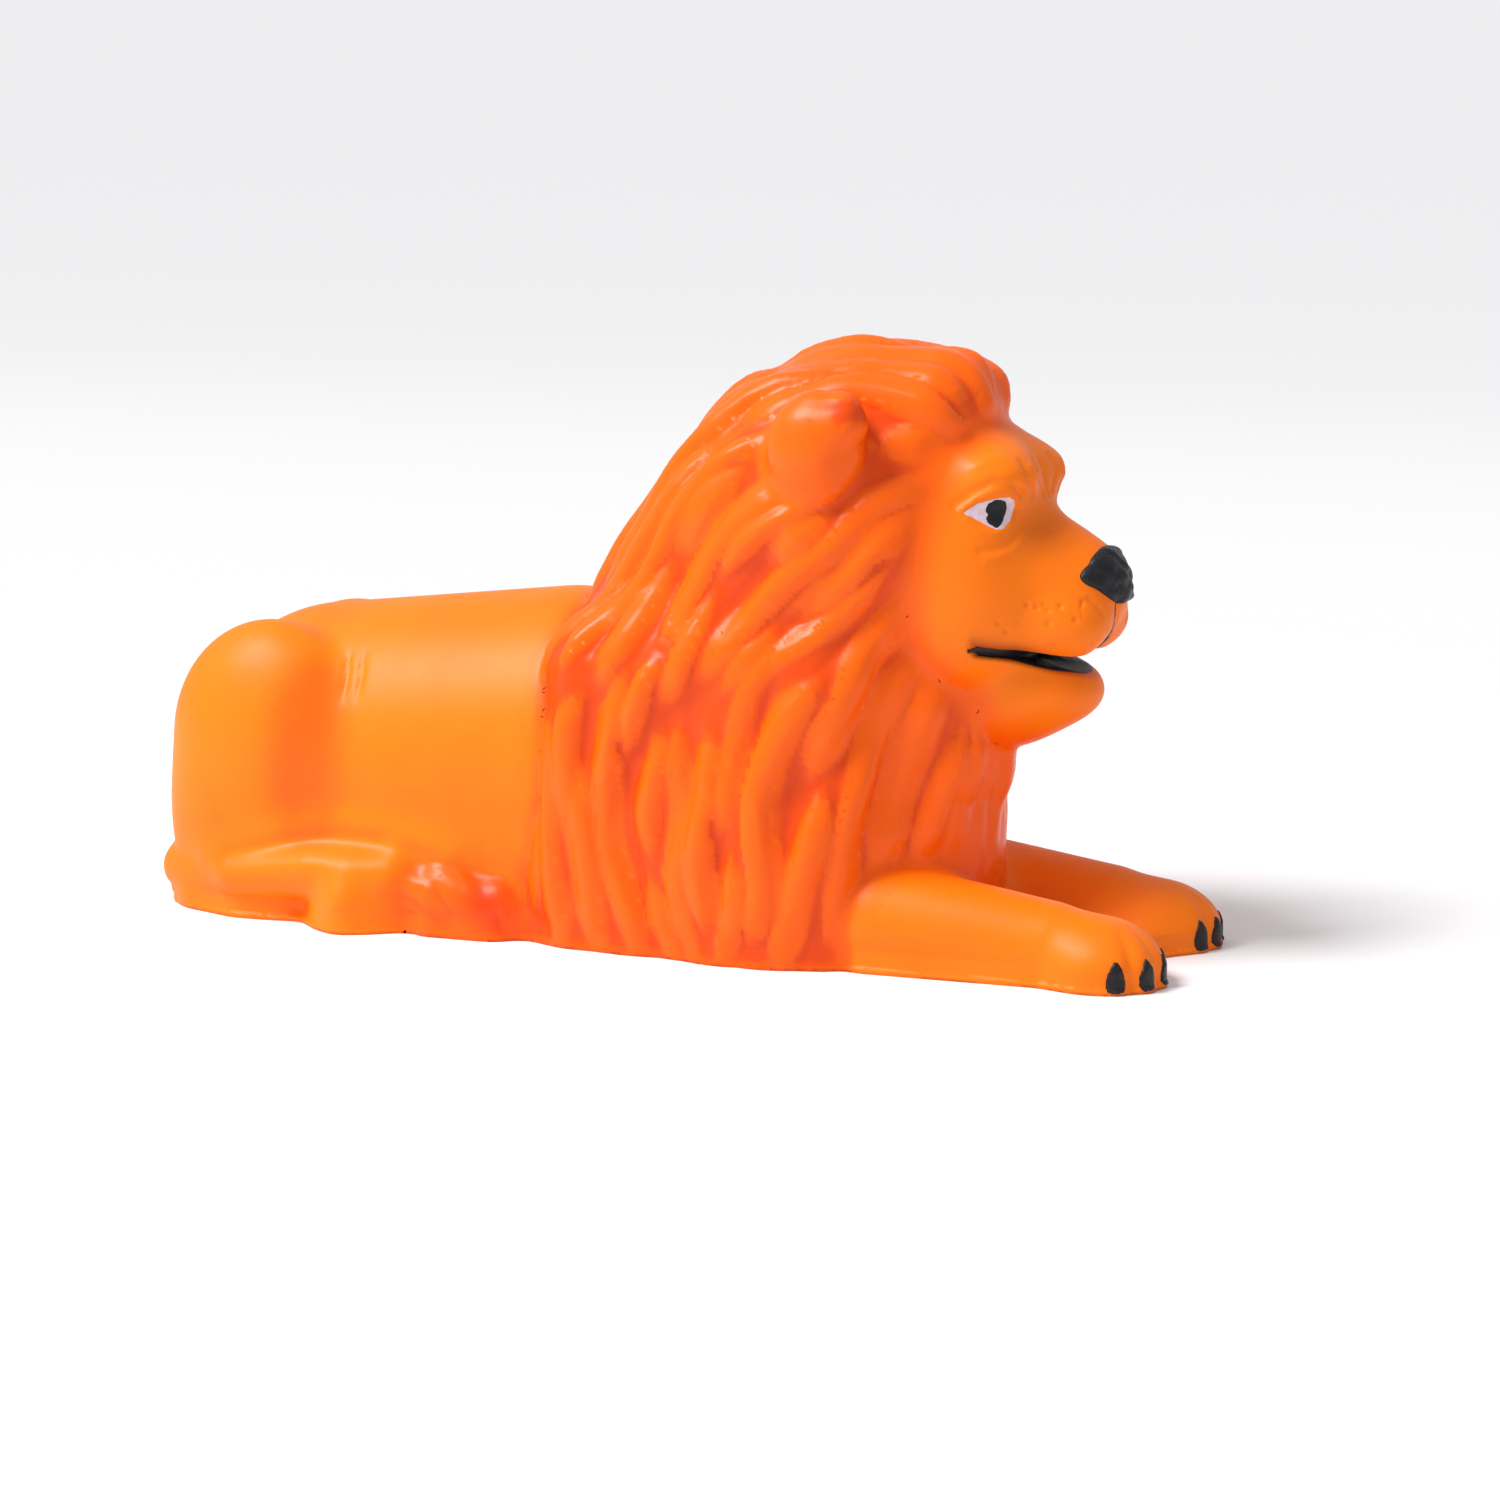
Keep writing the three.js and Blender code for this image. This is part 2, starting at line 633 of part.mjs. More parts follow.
const evenly = (low, high, cell) => spaced(low, high, () => cell);
const bodyXs = spaced(-rearReach, frontReach, (x) => (x > headX ? headCell : bodyCell));
const bodyYs = evenly(-sideReach, sideReach, bodyAcrossCell);
const jawBottomZ = headZ + jawFrom[2] - jawRadii[2];
const bodyZs = spaced(-gridDepth, topReach, (z) => (z > jawBottomZ ? headCell : bodyCell));
const bodyGeometry = standing(skinGeometry(closedBelow(body), bodyXs, bodyYs, bodyZs));
const maneXs = evenly(-maneRearReach, maneFrontReach, maneCell);
const maneYs = evenly(-sideReach, sideReach, maneCell);
const maneZs = evenly(-gridDepth, topReach, maneCell);
const maneGeometry = standing(skinGeometry(closedBelow(mane), maneXs, maneYs, maneZs));
const tuftXs = evenly(tuftStartX - 2 * tuftRadius, tuftEndX + 2 * tuftRadius, tuftCell);
const tuftYs = evenly(-sideReach, 0, tuftCell);
const tuftZs = evenly(-gridDepth, 4 * tuftRadius, tuftCell);
const tuftGeometry = standing(skinGeometry(closedBelow(tailTuft), tuftXs, tuftYs, tuftZs));

// Thin shells that follow the skin. A ray goes from its start towards the skin; the shell's inner face
// stands innerLevel off the skin and its outer face the shell's thickness further out.
function reach(field, start, direction, level) {
  const p = start.clone();
  for (let step = 0; step < 200; step++) {
    const left = field(p.x, p.y, p.z) - level;
    if (left < 1e-4) break;
    p.addScaledVector(direction, Math.max(left * 0.7, 5e-4));
  }
  return p;
}

function shellPoints(field, rays, innerLevel, thickness) {
  const outer = rays.map((ray) => reach(field, ray.start, ray.direction, innerLevel + thickness * ray.share));
  const inner = rays.map((ray) => reach(field, ray.start, ray.direction, innerLevel));
  return [outer, inner];
}

function geometryOf(points, faces) {
  const geometry = new THREE.BufferGeometry().setFromPoints(points);
  geometry.setIndex(faces);
  return geometry;
}

// A strip: rays in two rows, edge to edge, with walls all round
function strip(field, rays, innerLevel, thickness) {
  const [outer, inner] = shellPoints(field, rays, innerLevel, thickness);
  const half = rays.length;
  const stations = half / 2;
  const faces = [];
  const quad = (a, b, c, d) => faces.push(a, b, c, a, c, d);
  for (let i = 0; i + 1 < stations; i++) {
    const j = i + 1;
    quad(i, j, stations + j, stations + i);
    quad(half + i, half + stations + i, half + stations + j, half + j);
    quad(j, i, half + i, half + j);
    quad(stations + i, stations + j, half + stations + j, half + stations + i);
  }
  const last = stations - 1;
  quad(0, stations, half + stations, half);
  quad(last, half + last, half + stations + last, stations + last);
  return geometryOf([...outer, ...inner], faces);
}

const patchRings = 3;
const patchSectors = 16;
const edgeThinning = 0.75;
const lookOut = 12;
// A patch is the outline, seen along inward with +Z upright, laid on the skin and thinning to its edge
function patch(field, target, inward, outline, thickness) {
  const direction = inward.clone().normalize();
  const across = new THREE.Vector3(0, 0, 1).cross(direction).normalize();
  const upright = direction.clone().cross(across);
  const start = target.clone().addScaledVector(direction, -lookOut);
  const rays = [{ start, direction, share: 1 }];
  for (let ring = 1; ring <= patchRings; ring++)
    for (let sector = 0; sector < patchSectors; sector++) {
      const [a, b] = outline(sector / patchSectors * 2 * Math.PI);
      const out = ring / patchRings;
      const from = start.clone().addScaledVector(across, a * out).addScaledVector(upright, b * out);
      rays.push({ start: from, direction, share: Math.sqrt(1 - edgeThinning * out * out) });
    }
  const [outer, inner] = shellPoints(field, rays, seatGap, thickness);
  const half = rays.length;
  const faces = [];
  const at = (ring, sector) => 1 + ring * patchSectors + (sector % patchSectors);
  const bothFaces = (a, b, c) => faces.push(a, b, c, half + a, half + c, half + b);
  for (let sector = 0; sector < patchSectors; sector++) {
    bothFaces(0, at(0, sector + 1), at(0, sector));
    for (let ring = 0; ring + 1 < patchRings; ring++) {
      bothFaces(at(ring, sector), at(ring, sector + 1), at(ring + 1, sector + 1));
      bothFaces(at(ring, sector), at(ring + 1, sector + 1), at(ring + 1, sector));
    }
    const a = at(patchRings - 1, sector + 1), b = at(patchRings - 1, sector);
    faces.push(a, half + a, half + b, a, half + b, b);
  }
  return geometryOf([...outer, ...inner], faces);
}

const almond = (t) => [
  eyeHalfLength * Math.cos(t),
  eyeHalfHeight * Math.sin(t) * (1 - 0.25 * Math.cos(t) ** 2),
];
const pupilOval = (t) => [pupilHalfLength * Math.cos(t), pupilHalfHeight * Math.sin(t)];
const nosePad = (t) => [
  noseHalfWidth * Math.cos(t) * (1 + 0.18 * Math.sin(t)),
  noseHalfHeight * Math.sin(t) * (1 - 0.12 * Math.cos(t) ** 2),
];
const clawLeaf = (t) => [
  clawHalfWidth * Math.cos(t) * (1 - 0.35 * Math.sin(t)),
  clawHalfHeight * Math.sin(t),
];

const bodyOrange = new THREE.MeshStandardMaterial({ color: 0xff8c1a, roughness: 0.42, metalness: 0 });
const maneOrange = new THREE.MeshStandardMaterial({ color: 0xf4601a, roughness: 0.36, metalness: 0 });
const eyeWhite = new THREE.MeshStandardMaterial({ color: 0xe8d6dc, roughness: 0.4, metalness: 0 });
const paintBlack = new THREE.MeshStandardMaterial({ color: 0x1b1a1c, roughness: 0.45, metalness: 0 });

const lion = new THREE.Group();
function add(name, geometry, material) {
  const mesh = new THREE.Mesh(geometry, material.clone());
  mesh.name = name;
  lion.add(mesh);
}

// The mouth slot runs from one corner round the muzzle to the other, and the lip line fills it
const mouthStations = 31;
const slotOverrun = 3;
const cornerGapAngle = 3;
function mouthStrip(halfHeight, halfAngle, depth, thickness) {
  const centre = new THREE.Vector3(headX + mouthCentreReach, 0, headZ - mouthDrop);
  const rays = [];
  for (const edge of [-1, 1])
    for (let station = 0; station < mouthStations; station++) {
      const angle = THREE.MathUtils.degToRad((2 * station / (mouthStations - 1) - 1) * halfAngle);
      const ahead = Math.cos(angle);
      const outward = new THREE.Vector3(ahead, Math.sin(angle), -mouthFallPerLength * ahead).normalize();
      const start = centre.clone().addScaledVector(outward, 2 * lookOut);
      start.z += edge * halfHeight;
      rays.push({ start, direction: outward.negate(), share: 1 });
    }
  return strip(body, rays, -depth, thickness);
}
const slotThrough = mouthSlotDepth + slotOverrun;
const mouthSlot = mouthStrip(mouthSlotHalfHeight, mouthHalfAngle, mouthSlotDepth, slotThrough);
const lipDepth = mouthSlotDepth - seatGap;
const lipHalfHeight = mouthSlotHalfHeight - seatGap;
const lipLine = mouthStrip(lipHalfHeight, mouthHalfAngle - cornerGapAngle, lipDepth, lipDepth - seatGap);

add('body', toGeometry(toSolid(bodyGeometry).subtract(toSolid(mouthSlot))), bodyOrange);
add('mane', maneGeometry, maneOrange);
add('tail_tuft', tuftGeometry, maneOrange);
add('lip_line', lipLine, paintBlack);

const noseInward = new THREE.Vector3(-0.87, 0, -0.2);
const [noseX, noseY, noseZ] = fromHead(noseEndFrom);
const noseTarget = new THREE.Vector3(noseX, noseY, noseZ + noseRise);
add('nose', patch(body, noseTarget, noseInward, nosePad, noseThickness), paintBlack);

// A thin painted line joins the nose to the middle of the upper lip
const philtrumStations = 7;
const philtrumRays = [];
for (const edge of [-1, 1])
  for (let station = 0; station < philtrumStations; station++) {
    const drop = THREE.MathUtils.lerp(philtrumTopDrop, philtrumEndDrop, station / (philtrumStations - 1));
    const start = new THREE.Vector3(noseX + lookOut, edge * philtrumHalfWidth, headZ - drop);
    philtrumRays.push({ start, direction: new THREE.Vector3(-1, 0, 0), share: 1 });
  }
add('philtrum', strip(body, philtrumRays, seatGap, paintThickness), paintBlack);

const overWhite = (x, y, z) => body(x, y, z) - seatGap - paintThickness;
for (const [sideName, side] of [['right', -1], ['left', 1]]) {
  const [eyeX, eyeY, eyeZ] = fromHead(eyeFrom);
  const eyeTarget = new THREE.Vector3(eyeX, -side * eyeY, eyeZ);
  const eyeInward = new THREE.Vector3(-0.75, -0.66 * side, 0);
  add(`eye_white_${sideName}`, patch(body, eyeTarget, eyeInward, almond, paintThickness), eyeWhite);
  add(`pupil_${sideName}`, patch(overWhite, eyeTarget, eyeInward, pupilOval, paintThickness), paintBlack);
  clawAngles.forEach((degrees, number) => {
    const angle = THREE.MathUtils.degToRad(degrees);
    const outward = new THREE.Vector3(Math.cos(angle), -side * Math.sin(angle), clawRise).normalize();
    const target = new THREE.Vector3(pawX, forelegSideY * side, clawAimZ);
    target.addScaledVector(outward, pawRadii[0]);
    const claw = patch(body, target, outward.negate(), clawLeaf, paintThickness);
    add(`claw_${sideName}_${number + 1}`, claw, paintBlack);
  });
}

export default lion;
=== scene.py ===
import math
import bpy
import bmesh
import numpy as np
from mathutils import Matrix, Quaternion, Vector


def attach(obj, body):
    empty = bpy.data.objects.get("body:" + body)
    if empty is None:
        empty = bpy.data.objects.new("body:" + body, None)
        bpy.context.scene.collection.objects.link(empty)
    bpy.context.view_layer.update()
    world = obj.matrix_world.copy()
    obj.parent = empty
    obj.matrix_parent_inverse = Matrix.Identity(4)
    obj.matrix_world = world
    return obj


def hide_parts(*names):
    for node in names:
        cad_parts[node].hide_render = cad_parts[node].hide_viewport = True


# A lying lion moulded in soft foam and painted by hand. The forms are worked out in millimetres.
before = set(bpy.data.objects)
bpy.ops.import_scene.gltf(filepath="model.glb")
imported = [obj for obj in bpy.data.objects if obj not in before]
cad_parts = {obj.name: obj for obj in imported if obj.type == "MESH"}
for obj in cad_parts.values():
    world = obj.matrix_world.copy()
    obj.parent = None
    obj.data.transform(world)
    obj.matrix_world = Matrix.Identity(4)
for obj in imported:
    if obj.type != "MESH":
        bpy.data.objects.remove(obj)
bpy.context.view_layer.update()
mm = 0.001
print("frame loaded:", len(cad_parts), "nodes")


# Forms: each is a field, negative inside, on arrays of x, y and z
def join(a, b, blend):
    h = np.maximum(blend - np.abs(a - b), 0) / blend
    return np.minimum(a, b) - h * h * blend / 4


def carve(a, b, blend):
    return -join(-a, b, blend)


def ball(p, centre, radii):
    d = [p[i] - centre[i] for i in range(3)]
    outer = np.sqrt(sum((d[i] / radii[i]) ** 2 for i in range(3)))
    slope = np.sqrt(sum((d[i] / radii[i] ** 2) ** 2 for i in range(3)))
    return outer * (outer - 1) / np.maximum(slope, 1e-5)


def limb(p, points, widthShare=1.0):
    x, y, z = p[0], p[1] / widthShare, p[2]
    least = None
    for (ax, ay, az, ar), (bx, by, bz, br) in zip(points, points[1:]):
        dx, dy, dz = bx - ax, by - ay, bz - az
        along = ((x - ax) * dx + (y - ay) * dy + (z - az) * dz) / (dx * dx + dy * dy + dz * dz)
        t = np.clip(along, 0, 1)
        away = np.sqrt((x - ax - t * dx) ** 2 + (y - ay - t * dy) ** 2 + (z - az - t * dz) ** 2)
        reach = away - ar - t * (br - ar)
        least = reach if least is None else np.minimum(least, reach)
    return least * min(1, widthShare)


def block(p, rearX, frontX, halfWidth, topZ, radius):
    sunkZ = -2 * radius
    dx = np.abs(p[0] - (rearX + frontX) / 2) - (frontX - rearX) / 2 + radius
    dy = np.abs(p[1]) - halfWidth + radius
    dz = np.abs(p[2] - (topZ + sunkZ) / 2) - (topZ - sunkZ) / 2 + radius
    zero = np.maximum(dx, 0) ** 2 + np.maximum(dy, 0) ** 2 + np.maximum(dz, 0) ** 2
    return np.sqrt(zero) + np.minimum(np.maximum(np.maximum(dx, dy), dz), 0) - radius


def bump(distance, width):
    return np.exp(-(distance / width) ** 2)


def smoothStep(low, high, value):
    t = np.clip((value - low) / (high - low), 0, 1)
    return t * t * (3 - 2 * t)


blends = {"crisp": 1.5, "fold": 3.0, "soft": 5.0, "wide": 9.0}
wallTop = 2.6  # below this height the sides drop straight to the floor

trunkForm = {
    "rump": (-46.5, 0, 17.6, 19.8),
    "shoulder": (-15, 0, 20.2, 20.8),
    "widthShare": 0.9,
    "belly": (-57.8, 6.2, 16, 15, 6),
}
hindForm = {
    "haunch": ((-51.2, -11.4, 21.4), (13.5, 8.8, 14.9)),
    "thigh": ((-55.2, -11.4, 11), (9.8, 6.8, 10)),
    "foot": [(-59, -12, 2.4, 4.4), (-51, -14.4, 4.8, 4.4), (-42, -15.2, 7, 4.4), (-33, -15.4, 6.6, 4.4),
             (-18.8, -12.4, 2.8, 4)],
    "toeBall": ((-36.6, -17.6, 2.6), (6, 4.6, 4.4)),
}
tailForm = {
    "path": [(-62.6, 0, 7, 5), (-63, -11.4, 4.8, 3.1), (-52.8, -17.2, 4.8, 2.4), (-42, -18.7, 6.4, 2.4),
             (-36.6, -18.7, 6.4, 2.4), (-31.5, -18, 5.8, 2.4)],
    "tuft": [(-31.5, -18, 5.8, 2.4), (-25.5, -16.2, 4.6, 4.6), (-18.8, -16.2, 3.4, 4)],
}
foreForm = {
    "leg": [(30, -12.1, 5.1, 6.8), (50, -12.1, 3.4, 5.6), (56.4, -12.1, 1.9, 5.4)],
    "paw": ((56.4, -12.1, 1.9), (7.4, 7, 5.4)),
    "web": (30, 59, 12.1, 3.4, 3.4),
}
headForm = {
    "centre": (30.4, 51),
    "skull": ((0, 0, 0), (13, 13, 15)),
    "forehead": ((5.1, 0, 4), (8.4, 9, 7.4)),
    "brow": ((10.1, -5.4, 6), (4.5, 5.1, 3.4)),
    "bridge": [(10.4, 0, -1, 5.2), (19, 0, -6.4, 4.9)],
    "cheek": ((6, -7.2, -7.5), (8.6, 7, 11.2)),
    "snout": ((13, 0, -9), (9.6, 8.6, 7.4)),
    "muzzle": ((16.4, -3.9, -10.6), (7, 5, 4.8)),
    "chin": ((15.9, 0, -19.1), (5.8, 6.4, 4)),
    "jaw": ((10, 0, -19.2), (8, 8, 6.8)),
    "eye": ((7, -6.3, 2.6), (4.3, 4.3, 4.3)),
    "neck": [(-10, 0, 20.2, 14.8), (13, 0, 33, 11), (24.9, 0, 45.5, 11)],
    "chestCore": [(-5, 0, 13, 13), (30, 0, 9, 9)],
}
mouthForm = {
    "centreX": 41.4, "z": 37.25, "fall": 0.205, "halfAngle": 99,
    "halfHeight": (0.55, 1.2),  # at the corner and at the front
    "depth": (1.0, 2.8),
}
# Lines and pits of the face: depth, half width, then the places they run through on the right side
faceMarks = {
    "pressed": [
        (0.35, 0.45, [(44.1, -6.8, 59.2), (44.9, -6.8, 57.2), (44.9, -5, 55.0)]),
        (0.35, 0.45, [(44.2, -3, 59.2), (45, -3.6, 57.5), (45.1, -1.7, 55.0)]),
        (0.3, 0.45, [(44.3, 0, 58.6), (45.2, 0, 54.8)]),
        (0.25, 0.5, [(37.8, -12.2, 54.2), (39.6, -11.4, 55.9), (41.8, -10.1, 56.9), (43.5, -8.5, 56.6),
                     (44.3, -7, 55)]),
        (0.25, 1.5, [(40.4, -11.4, 53.1), (42.3, -10, 53.3), (43.2, -8.6, 53.6)]),
        (0.16, 0.6, [(43.9, -8.2, 50.9), (43.5, -9.4, 49.8), (42.4, -10.9, 49.3), (41, -12, 49)]),
        (0.2, 0.4, [(52.1, -5.9, 43.3), (53.1, -5.2, 42.4), (53.7, -4.5, 41.2), (53.7, -3.6, 39.9)]),
        (0.2, 0.3, [(51.5, -6.4, 43.2), (51.3, -6.8, 42.2), (51.6, -6.9, 41.4)]),
        (0.15, 0.4, [(44.4, -9.6, 33.2), (46.6, -8.2, 33.1), (49, -6.3, 33.2)]),
    ],
    "raised": [
        (0.22, 0.5, [(38.8, -12, 53.8), (40.2, -11.4, 55), (41.8, -10.3, 55.7), (43.3, -9, 55.5),
                     (43.9, -7.6, 54.6)]),
        (0.18, 0.45, [(39.3, -12, 52.6), (40.6, -11.6, 51.4), (42.1, -10.7, 50.9), (43.5, -9, 51.6),
                      (44, -7.6, 53)]),
        (0.12, 0.6, [(44.3, -7.8, 50.2), (43.9, -9, 49.1), (42.9, -10.6, 48.4), (41.6, -11.9, 48)]),
        (0.18, 0.8, [(39.7, -10.3, 58.6), (42, -8.4, 59.6), (43.9, -7.9, 58.4), (44.8, -7.4, 56.6)]),
        (0.25, 0.5, [(45, -5.6, 58.6), (45.7, -5.2, 56.4)]),
        (0.25, 0.5, [(45.2, -1.7, 58.8), (45.9, -1.4, 56.6)]),
    ],
    "pits": [
        (45.9, -9.6, 42.9), (46.9, -9.1, 42.6), (47.6, -8.8, 42.8), (48.1, -8.7, 42.3), (49.4, -8.1, 42.7),
        (43.1, -11.6, 40.9), (43.8, -10.8, 39.9), (45.2, -10.4, 41), (50.4, -7.2, 42.3), (44.5, -10.9, 38.8),
        (48.3, -8.9, 40.8), (51.1, -7.7, 41.2), (52.6, -5.7, 38.3), (50.6, -7, 38.6), (46.8, -9.7, 39.2),
    ],
    "pitDepth": 0.3, "pitWidth": 0.32,
    "lipSeam": [(54.6, -2.3, 42.8), (54.3, -1.6, 41), (53.7, -0.4, 39.4), (52.8, 0.5, 38.2),
                (51.9, 0.9, 37.2), (51, 1, 36.2)],
    "lipSeamDepth": 0.45, "lipSeamWidth": 0.4,
}
skinMarks = {
    "creases": [[(-40.7, 34), (-39.6, 30.6), (-39, 26)], [(-38.3, 34), (-37.5, 30), (-37.3, 26)]],
    "creaseDepth": 0.28, "creaseWidth": 0.6,
    "footRidge": [(-57.1, 7.3), (-50.3, 9.7), (-45.2, 11.5), (-39.6, 12.3), (-33.8, 12.1), (-28.2, 11.3),
                  (-24.2, 9.8)],
    "tailRidge": [(-54.3, 5.2), (-49.9, 6.6), (-45.6, 7.7), (-41.1, 8.4), (-37.1, 8.6), (-31.3, 8.2)],
    "tailHollow": [(-53, 8), (-46, 10), (-40, 10.8), (-33, 10.6)],
    "ridgeHeight": 0.75, "ridgeWidth": 2.1,
    "tailBall": (-36.6, 4.4), "ballHeight": 1.4, "ballWidth": 2.8,
    "toeAngles": (-44, -11, 18),
    "toeDepth": 0.4, "toeWidth": 0.9,
    "lipHeight": 0.7, "lipReach": 0.3,
}
maneForm = {
    "block": (-13.2, 29, 20.7, 39, 6.5),
    "flare": [(-8, -12.6, 15, 5.8), (-13.6, -12.6, 2.6, 5.8)],
    "bulge": ((14, -8, 10), (17, 14.2, 30)),
    "crown": [(20.3, 0, 49.5, 21.6), (8.6, 0, 38, 20.1)],
    "crownWidthShare": 0.91,
    "forelock": [(32.2, 0, 64, 8), (24.3, 0, 64, 8)],
    "forelockWidthShare": 1.5,
    "chest": [(30, 0, 30, 12.2), (27.8, 0, 20, 11.6), (27.8, 0, 11, 12.2)],
    "chestWidthShare": 1.15,
    "opening": ((47.5, 0, 47), (16, 24, 18)),
    "ear": ((22.6, -17, 60.4), (6, 4, 6.6)),
    "earRim": ((26.4, -17, 63.6), (2.8, 3.4, 3.4)),
    "earHollow": ((31.2, -20.2, 57.8), (4.6, 3, 5.6)),
    "seam": 1.2,
    "hairDepth": 0.7,
}
lockForm = {
    "radius": 3.2, "rise": 1.0, "blend": 2.0, "pieces": 10,
    "paths": [
        [(30, 0, 71.5), (21, 0, 71), (10, 0, 65), (2, 0, 56), (-6, 0, 47), (-11, 0, 40)],
        [(24, 8, 70), (13, 8.5, 67.5), (4, 11, 57.5), (-2, 13.5, 46), (-7, 18, 37)],
        [(15, 14, 64), (9, 15, 56), (4.5, 15, 51), (0.5, 17, 43), (-1, 20.5, 36)],
        [(21.5, 19.5, 53.5), (15.5, 19, 50), (11, 18.5, 44.5), (9.5, 20, 39), (7, 21.5, 32.5)],
        [(24.5, 19.5, 51.5), (19.5, 19.5, 45), (17, 20, 40.5), (13.5, 21, 36)],
        [(33, 16.3, 49), (28, 18.3, 44), (24, 20, 38.5), (20.5, 21, 33.5)],
        [(32.5, 16, 41), (28.5, 18, 36), (24, 20.5, 31), (17, 21.5, 22.5), (16, 22, 14.5), (16, 22.5, 7.5),
         (19, 21.5, 2)],
        [(16.5, 21.5, 34.5), (12.5, 21.5, 27.5), (13, 22, 19.5), (9, 22, 13), (8, 21.5, 9), (12, 22, 3)],
        [(5, 21, 36), (1.5, 21, 28.5), (-3.5, 20.5, 20.5), (-5, 20.5, 14), (-3, 20.5, 8), (1, 20.5, 2.5)],
        [(6, 21, 25), (2.5, 20.5, 17), (4.5, 21, 10)],
        [(-7, 20.5, 34), (-8.5, 20.5, 20), (-9.5, 20, 10), (-12, 19, 3)],
        [(32, 14.5, 29.5), (28.5, 17, 23.5), (24.5, 20.5, 15.5), (22.5, 21.5, 8.5)],
        [(38.5, 8, 25), (37, 9, 21), (33.5, 13, 14)],
        [(41.5, 0, 27), (40.5, 0, 19)],
    ],
}


def atHead(place):
    x, z = headForm["centre"]
    return (x + place[0], place[1], z + place[2])


def faceField(p, q):
    f = headForm
    face = ball(p, atHead(f["skull"][0]), f["skull"][1])
    face = join(face, ball(p, atHead(f["forehead"][0]), f["forehead"][1]), blends["soft"])
    face = join(face, ball(q, atHead(f["brow"][0]), f["brow"][1]), blends["fold"])
    bridge = [(*atHead(stop[:3]), stop[3]) for stop in f["bridge"]]
    face = join(face, limb(p, bridge), blends["fold"])
    face = join(face, ball(q, atHead(f["cheek"][0]), f["cheek"][1]), blends["soft"])
    face = join(face, ball(p, atHead(f["snout"][0]), f["snout"][1]), blends["soft"])
    face = join(face, ball(q, atHead(f["muzzle"][0]), f["muzzle"][1]), blends["crisp"])
    face = join(face, ball(p, atHead(f["chin"][0]), f["chin"][1]), blends["fold"])
    face = join(face, ball(p, atHead(f["jaw"][0]), f["jaw"][1]), blends["fold"])
    return join(face, ball(q, atHead(f["eye"][0]), f["eye"][1]), blends["crisp"])


def mouthShape(angle):
    # how tall and how deep the slot is, from the corner round to the front
    f = mouthForm
    front = 0.6 * smoothStep(95, 30, angle) + 0.4 * smoothStep(30, 5, angle)
    thick = f["halfHeight"][0] + front * (f["halfHeight"][1] - f["halfHeight"][0])
    thick = thick - 2.5 * smoothStep(f["halfAngle"] - 4, f["halfAngle"] + 5, angle)
    return thick, f["depth"][0] + front * (f["depth"][1] - f["depth"][0])


def mouthPlace(p):
    # the angle round the mouth's centre, and the height over its line
    ahead = p[0] - mouthForm["centreX"]
    angle = np.degrees(np.arctan2(np.abs(p[1]), ahead))
    return angle, p[2] - mouthForm["z"] + mouthForm["fall"] * ahead


def mouthField(p, skin):
    angle, height = mouthPlace(p)
    thick, depth = mouthShape(angle)
    return np.maximum(np.abs(height) - thick, -skin - depth)


def away(p, stops):
    # distance to the line through the stops
    return limb(p, [(*stop, 0) for stop in stops])


def sideways(p, stops):
    # the same, seen from the side
    return away((p[0], p[1] * 0, p[2]), [(x, 0, z) for x, z in stops])


def pressedBy(p, q):
    # how far the small marks push the skin in; the raised ones push it out
    depth = np.zeros(p[0].shape, p[0].dtype)
    f, s = faceMarks, skinMarks
    onFace = (p[0] > 35) & (p[2] > 30)
    if onFace.any():
        some = tuple(a[onFace] for a in q)
        plain = tuple(a[onFace] for a in p)
        total = f["lipSeamDepth"] * bump(away(plain, f["lipSeam"]), f["lipSeamWidth"])
        for deep, width, stops in f["pressed"]:
            total += deep * bump(away(some, stops), width)
        for high, width, stops in f["raised"]:
            total -= high * bump(away(some, stops), width)
        for pit in f["pits"]:
            apart = np.sqrt((some[0] - pit[0]) ** 2 + (some[1] - pit[1]) ** 2 + (some[2] - pit[2]) ** 2)
            total += f["pitDepth"] * bump(apart, f["pitWidth"])
        depth[onFace] = total
    onFlank = (p[0] < -33) & (p[0] > -42) & (p[2] > 22)
    if onFlank.any():
        some = tuple(a[onFlank] for a in q)
        for stops in s["creases"]:
            taper = smoothStep(26.5, 29.5, some[2]) * smoothStep(34, 31, some[2])
            depth[onFlank] += s["creaseDepth"] * taper * bump(sideways(some, stops), s["creaseWidth"])
    onFoot = (p[0] < -20) & (p[2] < 17) & (np.abs(p[1]) > 13)
    if onFoot.any():
        some = tuple(a[onFoot] for a in p)
        total = -s["ridgeHeight"] * bump(sideways(some, s["footRidge"]), s["ridgeWidth"])
        x, z = s["tailBall"]
        tail = -s["ridgeHeight"] * bump(sideways(some, s["tailRidge"]), s["ridgeWidth"])
        tail += 0.5 * s["ridgeHeight"] * bump(sideways(some, s["tailHollow"]), s["ridgeWidth"] * 0.7)
        tail -= s["ballHeight"] * bump(np.hypot(some[0] - x, some[2] - z), s["ballWidth"])
        depth[onFoot] = total + np.where(some[1] < 0, tail, 0)
    onPaw = (p[0] > 53) & (p[2] < 12)
    if onPaw.any():
        x, y, z = (a[onPaw] for a in q)
        (cx, cy, _), _ = foreForm["paw"]
        angle = np.degrees(np.arctan2(y - cy, x - cx))
        reach = smoothStep(2.5, 7, np.hypot(x - cx, y - cy))
        for toe in s["toeAngles"]:
            gap = np.radians(angle - toe) * 7
            depth[onPaw] += s["toeDepth"] * reach * bump(gap, s["toeWidth"])
    return depth


